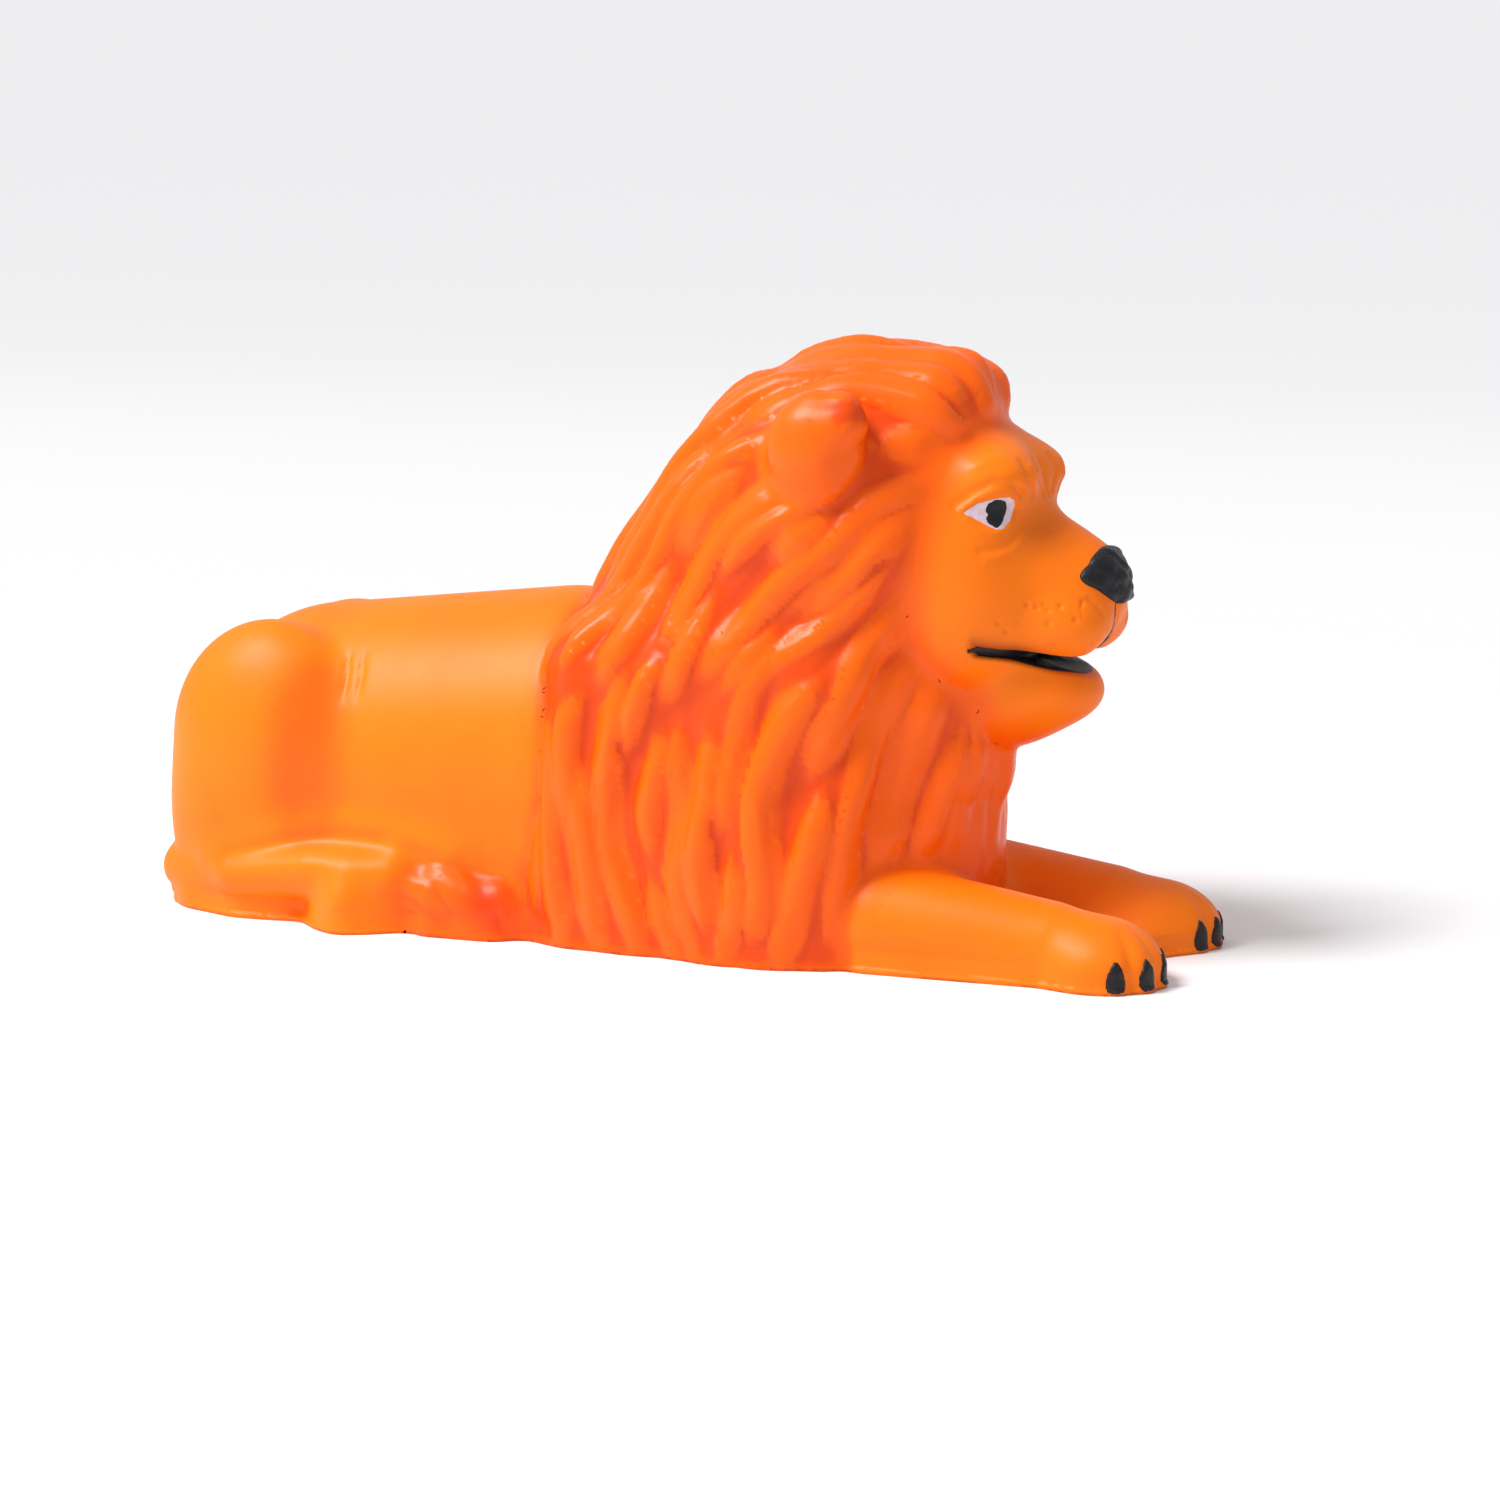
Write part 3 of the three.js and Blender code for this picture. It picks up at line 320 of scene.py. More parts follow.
def bodyField(p):
    t, h, f, s = trunkForm, hindForm, foreForm, skinMarks
    low = s["lipReach"] * smoothStep(s["lipHeight"] * 1.4, s["lipHeight"] * 0.6, p[2])
    p = (p[0], p[1], np.maximum(p[2], wallTop))
    q = (p[0], -np.abs(p[1]), p[2])
    skin = limb(p, [t["rump"], t["shoulder"]], t["widthShare"])
    skin = join(skin, block(p, *t["belly"]), blends["soft"])
    hind = join(ball(q, *h["haunch"]), ball(q, *h["thigh"]), blends["soft"])
    hind = join(hind, limb(q, h["foot"]), blends["fold"])
    hind = join(hind, ball(q, *h["toeBall"]), blends["fold"])
    skin = join(skin, hind, blends["crisp"])
    skin = join(skin, limb(p, tailForm["path"]), blends["crisp"])
    skin = join(skin, limb(p, headForm["neck"]), blends["soft"])
    skin = join(skin, limb(p, headForm["chestCore"]), blends["soft"])
    fore = join(limb(q, f["leg"]), ball(q, *f["paw"]), blends["crisp"])
    fore = join(fore, block(p, *f["web"]), blends["soft"])
    skin = join(skin, fore, blends["soft"])
    skin = join(skin, faceField(p, q), blends["fold"])
    return carve(skin, mouthField(p, skin), 0.7) + pressedBy(p, q) - low


def coatField(p, q):
    f = maneForm
    coat = join(block(p, *f["block"]), limb(q, f["flare"]), blends["fold"])
    coat = join(coat, ball(q, *f["bulge"]), blends["fold"])
    coat = join(coat, limb(p, f["crown"], f["crownWidthShare"]), blends["wide"])
    coat = join(coat, limb(p, f["forelock"], f["forelockWidthShare"]), blends["fold"])
    coat = join(coat, limb(p, f["chest"], f["chestWidthShare"]), blends["soft"])
    return coat + f["hairDepth"]


def slopeOf(field, points, step=0.04):
    slope = np.empty_like(points)
    for axis in range(3):
        shift = np.zeros(3)
        shift[axis] = step
        slope[:, axis] = (field((points + shift).T) - field((points - shift).T)) / (2 * step)
    return slope


def along(stops, pieces):
    # a smooth curve through the stops
    line = np.array(stops, float)
    line = np.vstack([2 * line[0] - line[1], line, 2 * line[-1] - line[-2]])
    t = np.linspace(0, len(stops) - 1, pieces + 1)
    first = np.minimum(t.astype(int), len(stops) - 2)
    f = (t - first)[:, None]
    a, b, c, d = (line[first + i] for i in range(4))
    return b + 0.5 * f * (c - a + f * (2 * a - 5 * b + 4 * c - d + f * (3 * (b - c) + d - a)))


def laidLock(stops):
    # the lock's axis, under the coat so that its top stands proud of it
    def coat(p):
        return coatField(p, (p[0], -np.abs(p[1]), p[2]))

    places = along(stops, lockForm["pieces"]) * (1, -1, 1)
    share = np.linspace(0, 1, lockForm["pieces"] + 1)
    level = lockForm["rise"] * np.sqrt(np.abs(np.sin(math.pi * share))) - lockForm["radius"]
    for _ in range(8):
        slope = slopeOf(coat, places)
        left = (level - coat(places.T)) / (slope ** 2).sum(1)
        places = places + slope * left[:, None]
    return [(*place, lockForm["radius"]) for place in places.tolist()]


laidLocks = [laidLock(stops) for stops in lockForm["paths"]]


def withLocks(q, coat):
    # only points near the coat can feel a lock
    near = np.abs(coat) < 5.5
    some = tuple(a[near] for a in q)
    least = np.full(some[0].shape, 9.0, coat.dtype)
    for lock in laidLocks:
        least = np.minimum(least, limb(some, lock))
    whole = coat.copy()
    whole[near] = join(coat[near], least, lockForm["blend"])
    return whole


def hairField(p):
    p = (p[0], p[1], np.maximum(p[2], wallTop))
    q = (p[0], -np.abs(p[1]), p[2])
    f = maneForm
    hair = withLocks(q, coatField(p, q))
    hair = join(hair, ball(q, *f["ear"]), blends["crisp"])
    hair = join(hair, ball(q, *f["earRim"]), blends["crisp"])
    hair = carve(hair, ball(q, *f["earHollow"]), blends["fold"])
    return carve(hair, ball(p, *f["opening"]), blends["fold"])


def tuftField(p):
    return limb((p[0], p[1], np.maximum(p[2], wallTop)), tailForm["tuft"])


def fields(p):
    body = bodyField(p)
    hair = hairField(p)
    tuft = tuftField(p)
    skin = join(join(body, hair, maneForm["seam"]), tuft, blends["crisp"])
    return body, hair, tuft, skin


def skinField(p):
    return fields(p)[3]


def ontoSkin(field, points, passes=2, most=0.5):
    for _ in range(passes):
        slope = slopeOf(field, points)
        square = np.maximum((slope ** 2).sum(1), 0.3)
        move = np.clip(field(points.T) / square, -most, most)
        points = points - slope * move[:, None]
    return points


# Mesh: one vertex in each cell that the skin or the line between two pieces crosses
meshing = {
    "lengthMarks": [(-69, 0.66), (-17, 0.48), (58, 0.5), (67.5, 0.5)],
    "acrossCell": 0.5,
    "upCell": 0.48,
    "halfWidth": 25,
    "height": 75,
    "wallDepth": 1.8,  # how far under the skin the hidden walls between pieces stay
}


def marks(stops):
    line = [stops[0][0]]
    for (start, cell), (end, _) in zip(stops, stops[1:]):
        count = math.ceil((end - start) / cell)
        line += [start + (end - start) * (i + 1) / count for i in range(count)]
    return np.array(line)


def gridOf():
    xs = marks(meshing["lengthMarks"])
    half = meshing["halfWidth"]
    ys = np.linspace(-half, half, 2 * math.ceil(half / meshing["acrossCell"]) + 1)
    up = meshing["upCell"]
    zs = np.arange(-up / 2 - up, meshing["height"], up)
    return xs, ys, zs


bodyPiece, manePiece, tuftPiece = 1, 2, 3


def labelGrid(xs, ys, zs):
    shape = (len(xs), len(ys), len(zs))
    level = np.empty(shape, np.float32)
    label = np.zeros(shape, np.int8)
    inner = np.empty(shape, np.float32)
    yy, zz = np.meshgrid(ys.astype(np.float32), zs.astype(np.float32), indexing="ij")
    for start in range(0, len(xs), 8):
        some = xs[start:start + 8].astype(np.float32)
        p = [np.broadcast_to(a, (len(some),) + yy.shape).ravel()
             for a in (some[:, None, None], yy[None], zz[None])]
        body, hair, tuft, skin = fields(p)
        skin = np.maximum(skin, -p[2])
        owner = np.argmin(np.stack([body, hair, tuft]), 0) + 1
        owner[body < 0] = bodyPiece
        owner[skin >= 0] = 0
        size = (len(some),) + yy.shape
        level[start:start + 8] = skin.reshape(size)
        label[start:start + 8] = owner.reshape(size)
        inner[start:start + 8] = body.reshape(size)
    return level, label, inner


def netOf(xs, ys, zs, level, label, inner):
    axes = (xs, ys, zs)
    cells = tuple(n - 1 for n in label.shape)
    total = cells[0] * cells[1] * cells[2]
    sums = {True: np.zeros((total, 4)), False: np.zeros((total, 4))}
    quads, before, after = [], [], []
    for axis in range(3):
        low = [slice(None)] * 3
        high = [slice(None)] * 3
        low[axis] = slice(0, -1)
        high[axis] = slice(1, None)
        low, high = tuple(low), tuple(high)
        at = np.argwhere(label[low] != label[high])
        key = tuple(at.T)
        la, lb = label[low][key], label[high][key]
        onSkin = (la == 0) | (lb == 0)
        va = np.where(onSkin, level[low][key], inner[low][key])
        vb = np.where(onSkin, level[high][key], inner[high][key])
        t = np.where(va * vb < 0, va / np.where(va == vb, 1, va - vb), 0.5)
        point = np.stack([axes[i][at[:, i]] for i in range(3)], 1)
        point[:, axis] += t * (axes[axis][at[:, axis] + 1] - axes[axis][at[:, axis]])
        u, v = (axis + 1) % 3, (axis + 2) % 3
        ring = []
        for du, dv in ((0, 0), (-1, 0), (-1, -1), (0, -1)):
            cell = at.copy()
            cell[:, u] += du
            cell[:, v] += dv
            ring.append(np.ravel_multi_index(tuple(cell.T), cells))
        for kind in (True, False):
            mask = onSkin == kind
            for corner in ring:
                for i in range(3):
                    sums[kind][:, i] += np.bincount(corner[mask], point[mask, i], total)
                sums[kind][:, 3] += np.bincount(corner[mask], minlength=total)
        quads.append(np.stack(ring, 1))
        before.append(la)
        after.append(lb)
    quads, before, after = np.concatenate(quads), np.concatenate(before), np.concatenate(after)
    onSkin = sums[True][:, 3] > 0
    used = onSkin | (sums[False][:, 3] > 0)
    chosen = np.where(onSkin[:, None], sums[True], sums[False])[used]
    order = np.cumsum(used) - 1
    return chosen[:, :3] / chosen[:, 3:], onSkin[used], order[quads], before, after


def unit(vectors):
    return vectors / np.maximum(np.linalg.norm(vectors, axis=1), 1e-9)[:, None]


xs, ys, zs = gridOf()
level, label, inner = labelGrid(xs, ys, zs)
points, onSkin, quads, before, after = netOf(xs, ys, zs, level, label, inner)
print("net:", label.shape, len(points), "vertices")

flat = onSkin & (points[:, 2] < meshing["upCell"] / 2)
side = onSkin & ~flat
points[side] = ontoSkin(skinField, points[side])
points[flat, 2] = 0
near = flat.copy()
near[flat] = skinField(points[flat].T) > -meshing["upCell"]
rim = points[near]
for _ in range(3):
    slope = slopeOf(skinField, rim)
    slope[:, 2] = 0
    square = np.maximum((slope ** 2).sum(1), 0.3)
    rim = rim - slope * np.clip(skinField(rim.T) / square, -0.5, 0.5)[:, None]
points[near] = rim
hidden = points[~onSkin]
for _ in range(8):
    tooNear = np.clip(meshing["wallDepth"] + skinField(hidden.T), 0, None)
    hidden = hidden - unit(slopeOf(skinField, hidden)) * tooNear[:, None] * 0.6
points[~onSkin] = hidden
print("net fitted to the skin")

body, hair, tuft, _ = fields(points.T)
maneShare = smoothStep(-1.0, 1.0, body - hair)
tuftShare = smoothStep(-1.0, 1.0, body - tuft)
outward = (before == 0) | (after == 0)
skinQuads = np.where((before == 0)[:, None], quads[:, ::-1], quads)[outward]


def meshFrom(name, places, faces):
    mesh = bpy.data.meshes.new(name)
    mesh.from_pydata((places * mm).tolist(), [], faces.tolist())
    mesh.update()
    return mesh


def setNumbers(mesh, name, values):
    attribute = mesh.attributes.new(name, "FLOAT", "POINT")
    attribute.data.foreach_set("value", np.asarray(values, np.float32))


def getNumbers(mesh, name):
    values = np.zeros(len(mesh.vertices), np.float32)
    mesh.attributes[name].data.foreach_get("value", values)
    return values


def placesOf(mesh):
    flatList = np.zeros(len(mesh.vertices) * 3, np.float32)
    mesh.vertices.foreach_get("co", flatList)
    return flatList.reshape(-1, 3).astype(float) / mm


def linked(name, mesh):
    thing = bpy.data.objects.new(name, mesh)
    bpy.context.scene.collection.objects.link(thing)
    return thing


# Hair: strands flow over the mane along these directions, given as x, |y|, z and the angle from +X
hairPlan = {
    "flow": [
        (44, 12, 67, 115), (38, 0, 71, 150), (34, 10, 71, 172), (28, 0, 73, 180), (22, 14, 69, -162),
        (18, 0, 71, -168), (10, 0, 67, -145), (12, 16, 63, -140), (2, 0, 61, -130), (4, 19, 54, -125),
        (-7, 0, 50, -116), (-2, 19, 43, -118), (-10, 0, 43, -110), (34, 18, 62, 176), (29, 19, 55, -162),
        (19, 20, 50, -147), (11, 20, 43, -121), (32, 18, 44, -139), (22, 20, 34, -131), (13, 20, 29, -108),
        (8, 20, 19, -90), (12, 20, 7, -74), (2, 20, 30, -99), (-5, 19, 30, -100), (-3, 19, 18, -84),
        (0, 20, 6, -57), (-9, 19, 18, -94), (-13, 18, 7, -110), (-9, 19, 6, -90), (34, 16, 30, -124),
        (28, 20, 18, -117), (22, 20, 8, -108), (38, 14, 26, -113), (40, 8, 20, -90), (40, 0, 20, -90),
        (37, 14, 16, -107), (40, 0, 28, -90), (-30, 19, 8, -12), (-25, 18, 7, -35), (-19, 18, 4, -52),
    ],
    "flowReach": 7.0,
    "wander": (7, 3),  # degrees of slow and quick wander
    "step": 0.8,
    "layers": {
        "ridges": {"seed": 3, "seeds": 4200, "apart": 2.7, "length": 40, "wave": 0.4, "waveLength": 20,
                   "width": (2.2, 3.4), "lift": (0.55, 1.0)},
        "fine": {"seed": 41, "seeds": 4200, "apart": 1.2, "length": 15, "wave": 0.2, "waveLength": 11,
                 "width": (0.6, 0.9), "lift": (0.3, 1.0)},
    },
}


def hairyField(p):
    return np.minimum(hairField(p), tuftField(p))


def flowAt(places):
    table = np.array(hairPlan["flow"], float)
    here = places * (1, 0, 1) + np.abs(places) * (0, 1, 0)
    weight = np.zeros((len(places), len(table)))
    for i, stop in enumerate(table):
        apart = ((here - stop[:3]) ** 2).sum(1)
        weight[:, i] = np.exp(-apart / (2 * hairPlan["flowReach"] ** 2)) + 1e-9 / (1 + apart)
    angle = np.radians(table[:, 3])
    x, y, z = places.T
    slow, quick = hairPlan["wander"]
    turn = slow * (np.sin(x / 5.1 + z / 7.3 + 1.3) + np.sin(z / 4.7 - y / 6.1 + 0.4))
    turn += quick * (np.sin(x / 2.3 - z / 3.1 + y / 2.9) + np.sin((x + z) / 2.7 + y / 3.7 + 2.1))
    heading = np.arctan2(weight @ np.sin(angle), weight @ np.cos(angle)) + np.radians(turn)
    return np.stack([np.cos(heading), np.zeros(len(places)), np.sin(heading)], 1)


def growStrands(seeds, reach):
    half = int(reach / hairPlan["step"] / 2)
    tracks = []
    for sign in (-1, 1):
        here = seeds.copy()
        alive = np.ones(len(here), bool)
        track, lives, sides = [], [], []
        for _ in range(half):
            normal = unit(slopeOf(hairyField, here))
            flow = flowAt(here)
            flow = unit(flow - normal * (flow * normal).sum(1)[:, None])
            track.append(here.copy())
            sides.append(np.cross(normal, flow))
            lives.append(alive.copy())
            here = here + flow * sign * hairPlan["step"]
            here = here - normal * hairyField(here.T)[:, None]
            alive &= (bodyField(here.T) > -0.8) & (here[:, 2] > -0.4)
        tracks.append((np.array(track), np.array(lives), np.array(sides)))
    back, ahead = tracks
    return [np.concatenate([b[::-1], a[1:]]) for b, a in zip(back, ahead)]


def pickStrands(track, lives, apart, shortest):
    # strands in turn, each as long as it stays clear of those already picked
    count = len(track)
    taken = {}
    kept = []
    for n in range(track.shape[1]):
        line = track[:, n].tolist()
        living = lives[:, n]
        keys = np.floor(track[:, n] / apart).astype(int).tolist()

        def free(i):
            if not living[i]:
                return False
            (a, b, c), (x, y, z) = keys[i], line[i]
            for da in (-1, 0, 1):
                for db in (-1, 0, 1):
                    for dc in (-1, 0, 1):
                        for ox, oy, oz in taken.get((a + da, b + db, c + dc), ()):
                            if (ox - x) ** 2 + (oy - y) ** 2 + (oz - z) ** 2 < apart * apart:
                                return False
            return True

        low = high = count // 2
        if not free(low):
            continue
        while low > 0 and free(low - 1):
            low -= 1
        while high + 1 < count and free(high + 1):
            high += 1
        if (high - low) * hairPlan["step"] < shortest:
            continue
        kept.append((n, low, high))
        for i in range(low, high + 1):
            taken.setdefault(tuple(keys[i]), []).append(line[i])
    return kept


def strandMesh(name, plan, candidates):
    rng = np.random.default_rng(plan["seed"])
    seeds = candidates[rng.choice(len(candidates), plan["seeds"], replace=False)]
    seeds = seeds - slopeOf(hairyField, seeds) * hairyField(seeds.T)[:, None]
    track, lives, sides = growStrands(seeds, plan["length"])
    places, edges, lifts, widths = [], [], [], []
    kept = pickStrands(track, lives, plan["apart"], plan["length"] / 5)
    for n, low, high in kept:
        line = track[low:high + 1, n]
        run = np.arange(len(line)) * hairPlan["step"]
        phase = rng.uniform(0, 2 * math.pi)
        wave = plan["wave"] * np.sin(2 * math.pi * run / plan["waveLength"] + phase)
        line = line + sides[low:high + 1, n] * wave[:, None]
        taper = np.clip(np.minimum(run + 0.4, run[-1] - run + 0.4) / 5, 0, 1) ** 0.6
        first = len(places)
        places += line.tolist()
        lifts += (taper * rng.uniform(*plan["lift"])).tolist()
        widths += (rng.uniform(*plan["width"]) * (0.45 + 0.55 * taper)).tolist()
        edges += [(first + i, first + i + 1) for i in range(len(line) - 1)]
    mesh = bpy.data.meshes.new(name)
    mesh.from_pydata((np.array(places) * mm).tolist(), edges, [])
    setNumbers(mesh, "lift", lifts)
    setNumbers(mesh, "width", np.array(widths) * mm)
    print("strands:", name, len(kept))
    return linked(name, mesh)


candidates = points[onSkin & (np.maximum(maneShare, tuftShare) > 0.5) & (points[:, 2] > 0.5)]
strands = {name: strandMesh(name, plan, candidates) for name, plan in hairPlan["layers"].items()}

# The relief tree raises the skin towards the nearest strand of each layer
relief = {"ridgesHeight": 1.35, "fineHeight": 0.2, "sink": 0.65}
ridgeSharpness = 1.6


def reliefTree():
    tree = bpy.data.node_groups.new("hairRelief", "GeometryNodeTree")
    face = tree.interface
    face.new_socket("Skin", in_out="INPUT", socket_type="NodeSocketGeometry")
    for name in strands:
        face.new_socket(name, in_out="INPUT", socket_type="NodeSocketObject")
        face.new_socket(name + "Height", in_out="INPUT", socket_type="NodeSocketFloat")
    face.new_socket("sink", in_out="INPUT", socket_type="NodeSocketFloat")
    face.new_socket("finish", in_out="INPUT", socket_type="NodeSocketMaterial")
    face.new_socket("Skin", in_out="OUTPUT", socket_type="NodeSocketGeometry")
    start = tree.nodes.new("NodeGroupInput")
    end = tree.nodes.new("NodeGroupOutput")

    def add(kind, settings=None, **inputs):
        node = tree.nodes.new(kind)
        for key, value in (settings or {}).items():
            setattr(node, key, value)
        for key, value in inputs.items():
            socket = node.inputs[int(key[1:])] if key[0] == "i" and key[1:].isdigit() else node.inputs[key]
            if isinstance(value, bpy.types.NodeSocket):
                tree.links.new(value, socket)
            else:
                socket.default_value = value
        return node

    def maths(operation, a, b=0.0):
        return add("ShaderNodeMath", {"operation": operation}, i0=a, i1=b).outputs[0]

    def carried(name):
        return add("GeometryNodeInputNamedAttribute", {"data_type": "FLOAT"}, Name=name).outputs["Attribute"]

    def onStrand(line, name):
        nearest = add("GeometryNodeSampleNearest", {"domain": "POINT"}, Geometry=line)
        return add("GeometryNodeSampleIndex", {"data_type": "FLOAT", "domain": "POINT"}, Geometry=line,
                   Value=carried(name), Index=nearest.outputs[0]).outputs[0]

    total = maths("MULTIPLY", start.outputs["sink"], -1.0)
    for name in strands:
        given = add("GeometryNodeObjectInfo", {"transform_space": "RELATIVE"}, Object=start.outputs[name])
        line = given.outputs["Geometry"]
        near = add("GeometryNodeProximity", {"target_element": "EDGES"}, i0=line)
        share = maths("DIVIDE", near.outputs["Distance"], onStrand(line, "width"))
        rounded = maths("SUBTRACT", 1.0, maths("MULTIPLY", share, share))
        rounded = maths("POWER", maths("MAXIMUM", rounded, 0.0), ridgeSharpness)
        shaped = maths("MULTIPLY", rounded, onStrand(line, "lift"))
        total = maths("ADD", total, maths("MULTIPLY", shaped, start.outputs[name + "Height"]))
    rise = maths("ADD", maths("MULTIPLY", total, carried("reliefShare")), carried("swell"))
    out = add("ShaderNodeCombineXYZ", X=carried("outX"), Y=carried("outY"), Z=carried("outZ"))
    offset = add("ShaderNodeVectorMath", {"operation": "SCALE"}, i0=out.outputs[0],
                 Scale=maths("MULTIPLY", rise, mm))
    stored = add("GeometryNodeStoreNamedAttribute", {"data_type": "FLOAT", "domain": "POINT"},
                 Geometry=start.outputs["Skin"], Name="rise", Value=rise)
    moved = add("GeometryNodeSetPosition", Geometry=stored.outputs[0], Offset=offset.outputs[0])
    real = add("GeometryNodeRealizeInstances", Geometry=moved.outputs[0])
    painted = add("GeometryNodeSetMaterial", Geometry=real.outputs[0], Material=start.outputs["finish"])
    tree.links.new(painted.outputs[0], end.inputs[0])
    return tree


def runTree(thing, tree, values):
    modifier = thing.modifiers.new("relief", "NODES")
    modifier.node_group = tree
    sockets = {s.name: s.identifier for s in tree.interface.items_tree if s.in_out == "INPUT"}
    for name, value in values.items():
        modifier[sockets[name]] = value
    graph = bpy.context.evaluated_depsgraph_get()
    mesh = bpy.data.meshes.new_from_object(thing.evaluated_get(graph))
    thing.modifiers.remove(modifier)
    return mesh


class Shade:
    # One output socket; sums and products of these read as plain maths
    def __init__(self, maker, socket):
        self.maker = maker
        self.socket = socket

    def __add__(self, other):
        return self.maker.maths("ADD", self, other)

    def __sub__(self, other):
        return self.maker.maths("SUBTRACT", self, other)

    def __rsub__(self, other):
        return self.maker.maths("SUBTRACT", other, self)

    def __mul__(self, other):
        return self.maker.maths("MULTIPLY", self, other)


class Finish:
    # A material under construction
    def __init__(self, name):
        self.material = bpy.data.materials.new(name)
        self.material.use_nodes = True
        self.tree = self.material.node_tree
        self.shader = self.tree.nodes["Principled BSDF"]

    def node(self, kind, settings, inputs, output=0):
        node = self.tree.nodes.new(kind)
        for key, value in settings.items():
            setattr(node, key, value)
        for key, value in inputs.items():
            self.plug(node.inputs[key], value)
        return Shade(self, node.outputs[output])

    def plug(self, socket, value):
        if isinstance(value, Shade):
            self.tree.links.new(value.socket, socket)
        else:
            socket.default_value = value

    def maths(self, operation, a, b=0.0):
        return self.node("ShaderNodeMath", {"operation": operation}, {0: a, 1: b})

    def place(self):
        return self.node("ShaderNodeTexCoord", {}, {}, "Object")

    def number(self, name):
        return self.node("ShaderNodeAttribute", {"attribute_name": name}, {}, "Fac")

    def noise(self, scale, detail=2.0, rough=0.5):
        inputs = {"Vector": self.place(), "Scale": scale, "Detail": detail, "Roughness": rough}
        return self.node("ShaderNodeTexNoise", {}, inputs)

    def dots(self, scale):
        return self.node("ShaderNodeTexVoronoi", {}, {"Vector": self.place(), "Scale": scale}, "Distance")

    def step(self, value, low, high):
        # 0 at low, 1 at high, with soft ends; low may be the greater
        inputs = {"Value": value, "From Min": low, "From Max": high}
        return self.node("ShaderNodeMapRange", {"interpolation_type": "SMOOTHSTEP"}, inputs)

    def mix(self, share, a, b):
        return self.node("ShaderNodeMix", {"data_type": "RGBA"}, {0: share, 6: a, 7: b}, 2)

    def bump(self, height, distance, strength=1.0):
        inputs = {"Height": height, "Distance": distance, "Strength": strength}
        return self.node("ShaderNodeBump", {}, inputs)

    def set(self, **values):
        for key, value in values.items():
            self.plug(self.shader.inputs[key.replace("_", " ")], value)


# Paint tones as linear red, green and blue
paint = {
    "foam": (0.93, 0.190, 0.002),
    "foamDeep": (0.90, 0.160, 0.002),
    # mane, maneDeep and maneRidge: the hair's tone, its hollows and its ridges; darker hollows and lighter
    # ridges are partly pooled paint, partly painted shade and painted light
    "mane": (0.88, 0.108, 0.002),
    "maneDeep": (0.72, 0.060, 0.003),
    "maneRidge": (0.91, 0.118, 0.002),
    "tuftRed": (0.78, 0.040, 0.004),
    # brownShade: painted shade along the base, beside the nose bridge, on the haunch front, between the legs
    # and at the mouth, there partly overspray
    "brownShade": (0.22, 0.035, 0.008),
    "ink": (0.020, 0.016, 0.015),
    "white": (0.70, 0.56, 0.63),
    "whitePink": (0.60, 0.42, 0.50),
    "slate": (0.007, 0.008, 0.010),
    "slatePale": (0.020, 0.021, 0.026),
    "clawBrown": (0.055, 0.016, 0.010),
}


def tone(name):
    return (*paint[name], 1)


def skinFinish():
    f = Finish("foamSkin")
    sprayAndShade = f.number("sprayAndShade")
    pooledPaintAndShade = f.number("pooledPaintAndShade")
    cloud = f.noise(70, 3, 0.55)
    mottle = f.noise(420, 3, 0.6)
    foam = f.mix(f.step(cloud, 0.35, 0.75) * 0.7 + mottle * 0.3, tone("foam"), tone("foamDeep"))
    # the hair is painted lighter on its ridges and darker in its hollows: partly pooled paint, partly painted
    # light and shade
    hair = f.mix(f.step(pooledPaintAndShade + mottle * 0.2, 0.1, 0.65), tone("maneRidge"), tone("mane"))
    hair = f.mix(f.step(pooledPaintAndShade + cloud * 0.2, 0.55, 1.15), hair, tone("maneDeep"))
    colour = f.mix(f.step(sprayAndShade + mottle * 0.12, 0.06, 1.0), foam, hair)
    colour = f.mix(f.number("red"), colour, tone("tuftRed"))
    # painted shade in brown
    colour = f.mix(f.number("brownShade"), colour, tone("brownShade"))
    colour = f.mix(f.step(f.number("ink") + mottle * 0.5, 0.6, 0.85), colour, tone("ink"))
    pits = f.step(f.dots(520), 0.34, 0.1) * f.step(f.noise(45, 2), 0.52, 0.66)
    height = f.noise(1500, 3, 0.6) * 0.4 + f.noise(260, 2, 0.5) - pits * 0.6
    gloss = 0.40 - sprayAndShade * 0.13 + cloud * 0.08
    f.set(Base_Color=colour, Roughness=gloss, Normal=f.bump(height, 0.00005, 0.5))
    f.shader.inputs["Specular IOR Level"].default_value = 0.2
    return f.material


def whiteFinish():
    f = Finish("eyePaint")
    cloud = f.noise(900, 3, 0.6)
    f.set(Base_Color=f.mix(f.step(cloud, 0.35, 0.7), tone("white"), tone("whitePink")),
          Roughness=cloud * 0.15 + 0.3, Normal=f.bump(f.noise(1600, 3, 0.6), 0.00006, 0.6))
    return f.material


def darkFinish(name, dark, pale, lumps):
    f = Finish(name)
    f.shader.inputs["Specular IOR Level"].default_value = 0.28
    streak = f.noise(800, 4, 0.65)
    f.set(Base_Color=f.mix(f.step(streak, 0.45, 0.8), tone(dark), tone(pale)),
          Roughness=streak * 0.2 + 0.32,
          Normal=f.bump(f.noise(lumps, 3, 0.6) + f.noise(lumps * 4, 2, 0.5) * 0.3, 0.00025, 0.6))
    return f.material


finishes = {
    "skin": skinFinish(),
    "white": whiteFinish(),
    "nose": darkFinish("nosePaint", "slate", "slatePale", 700),
    "black": darkFinish("pupilPaint", "slate", "slate", 900),
    "ink": darkFinish("mouthPaint", "ink", "slatePale", 1200),
    "claw": darkFinish("clawPaint", "slate", "clawBrown", 900),
}


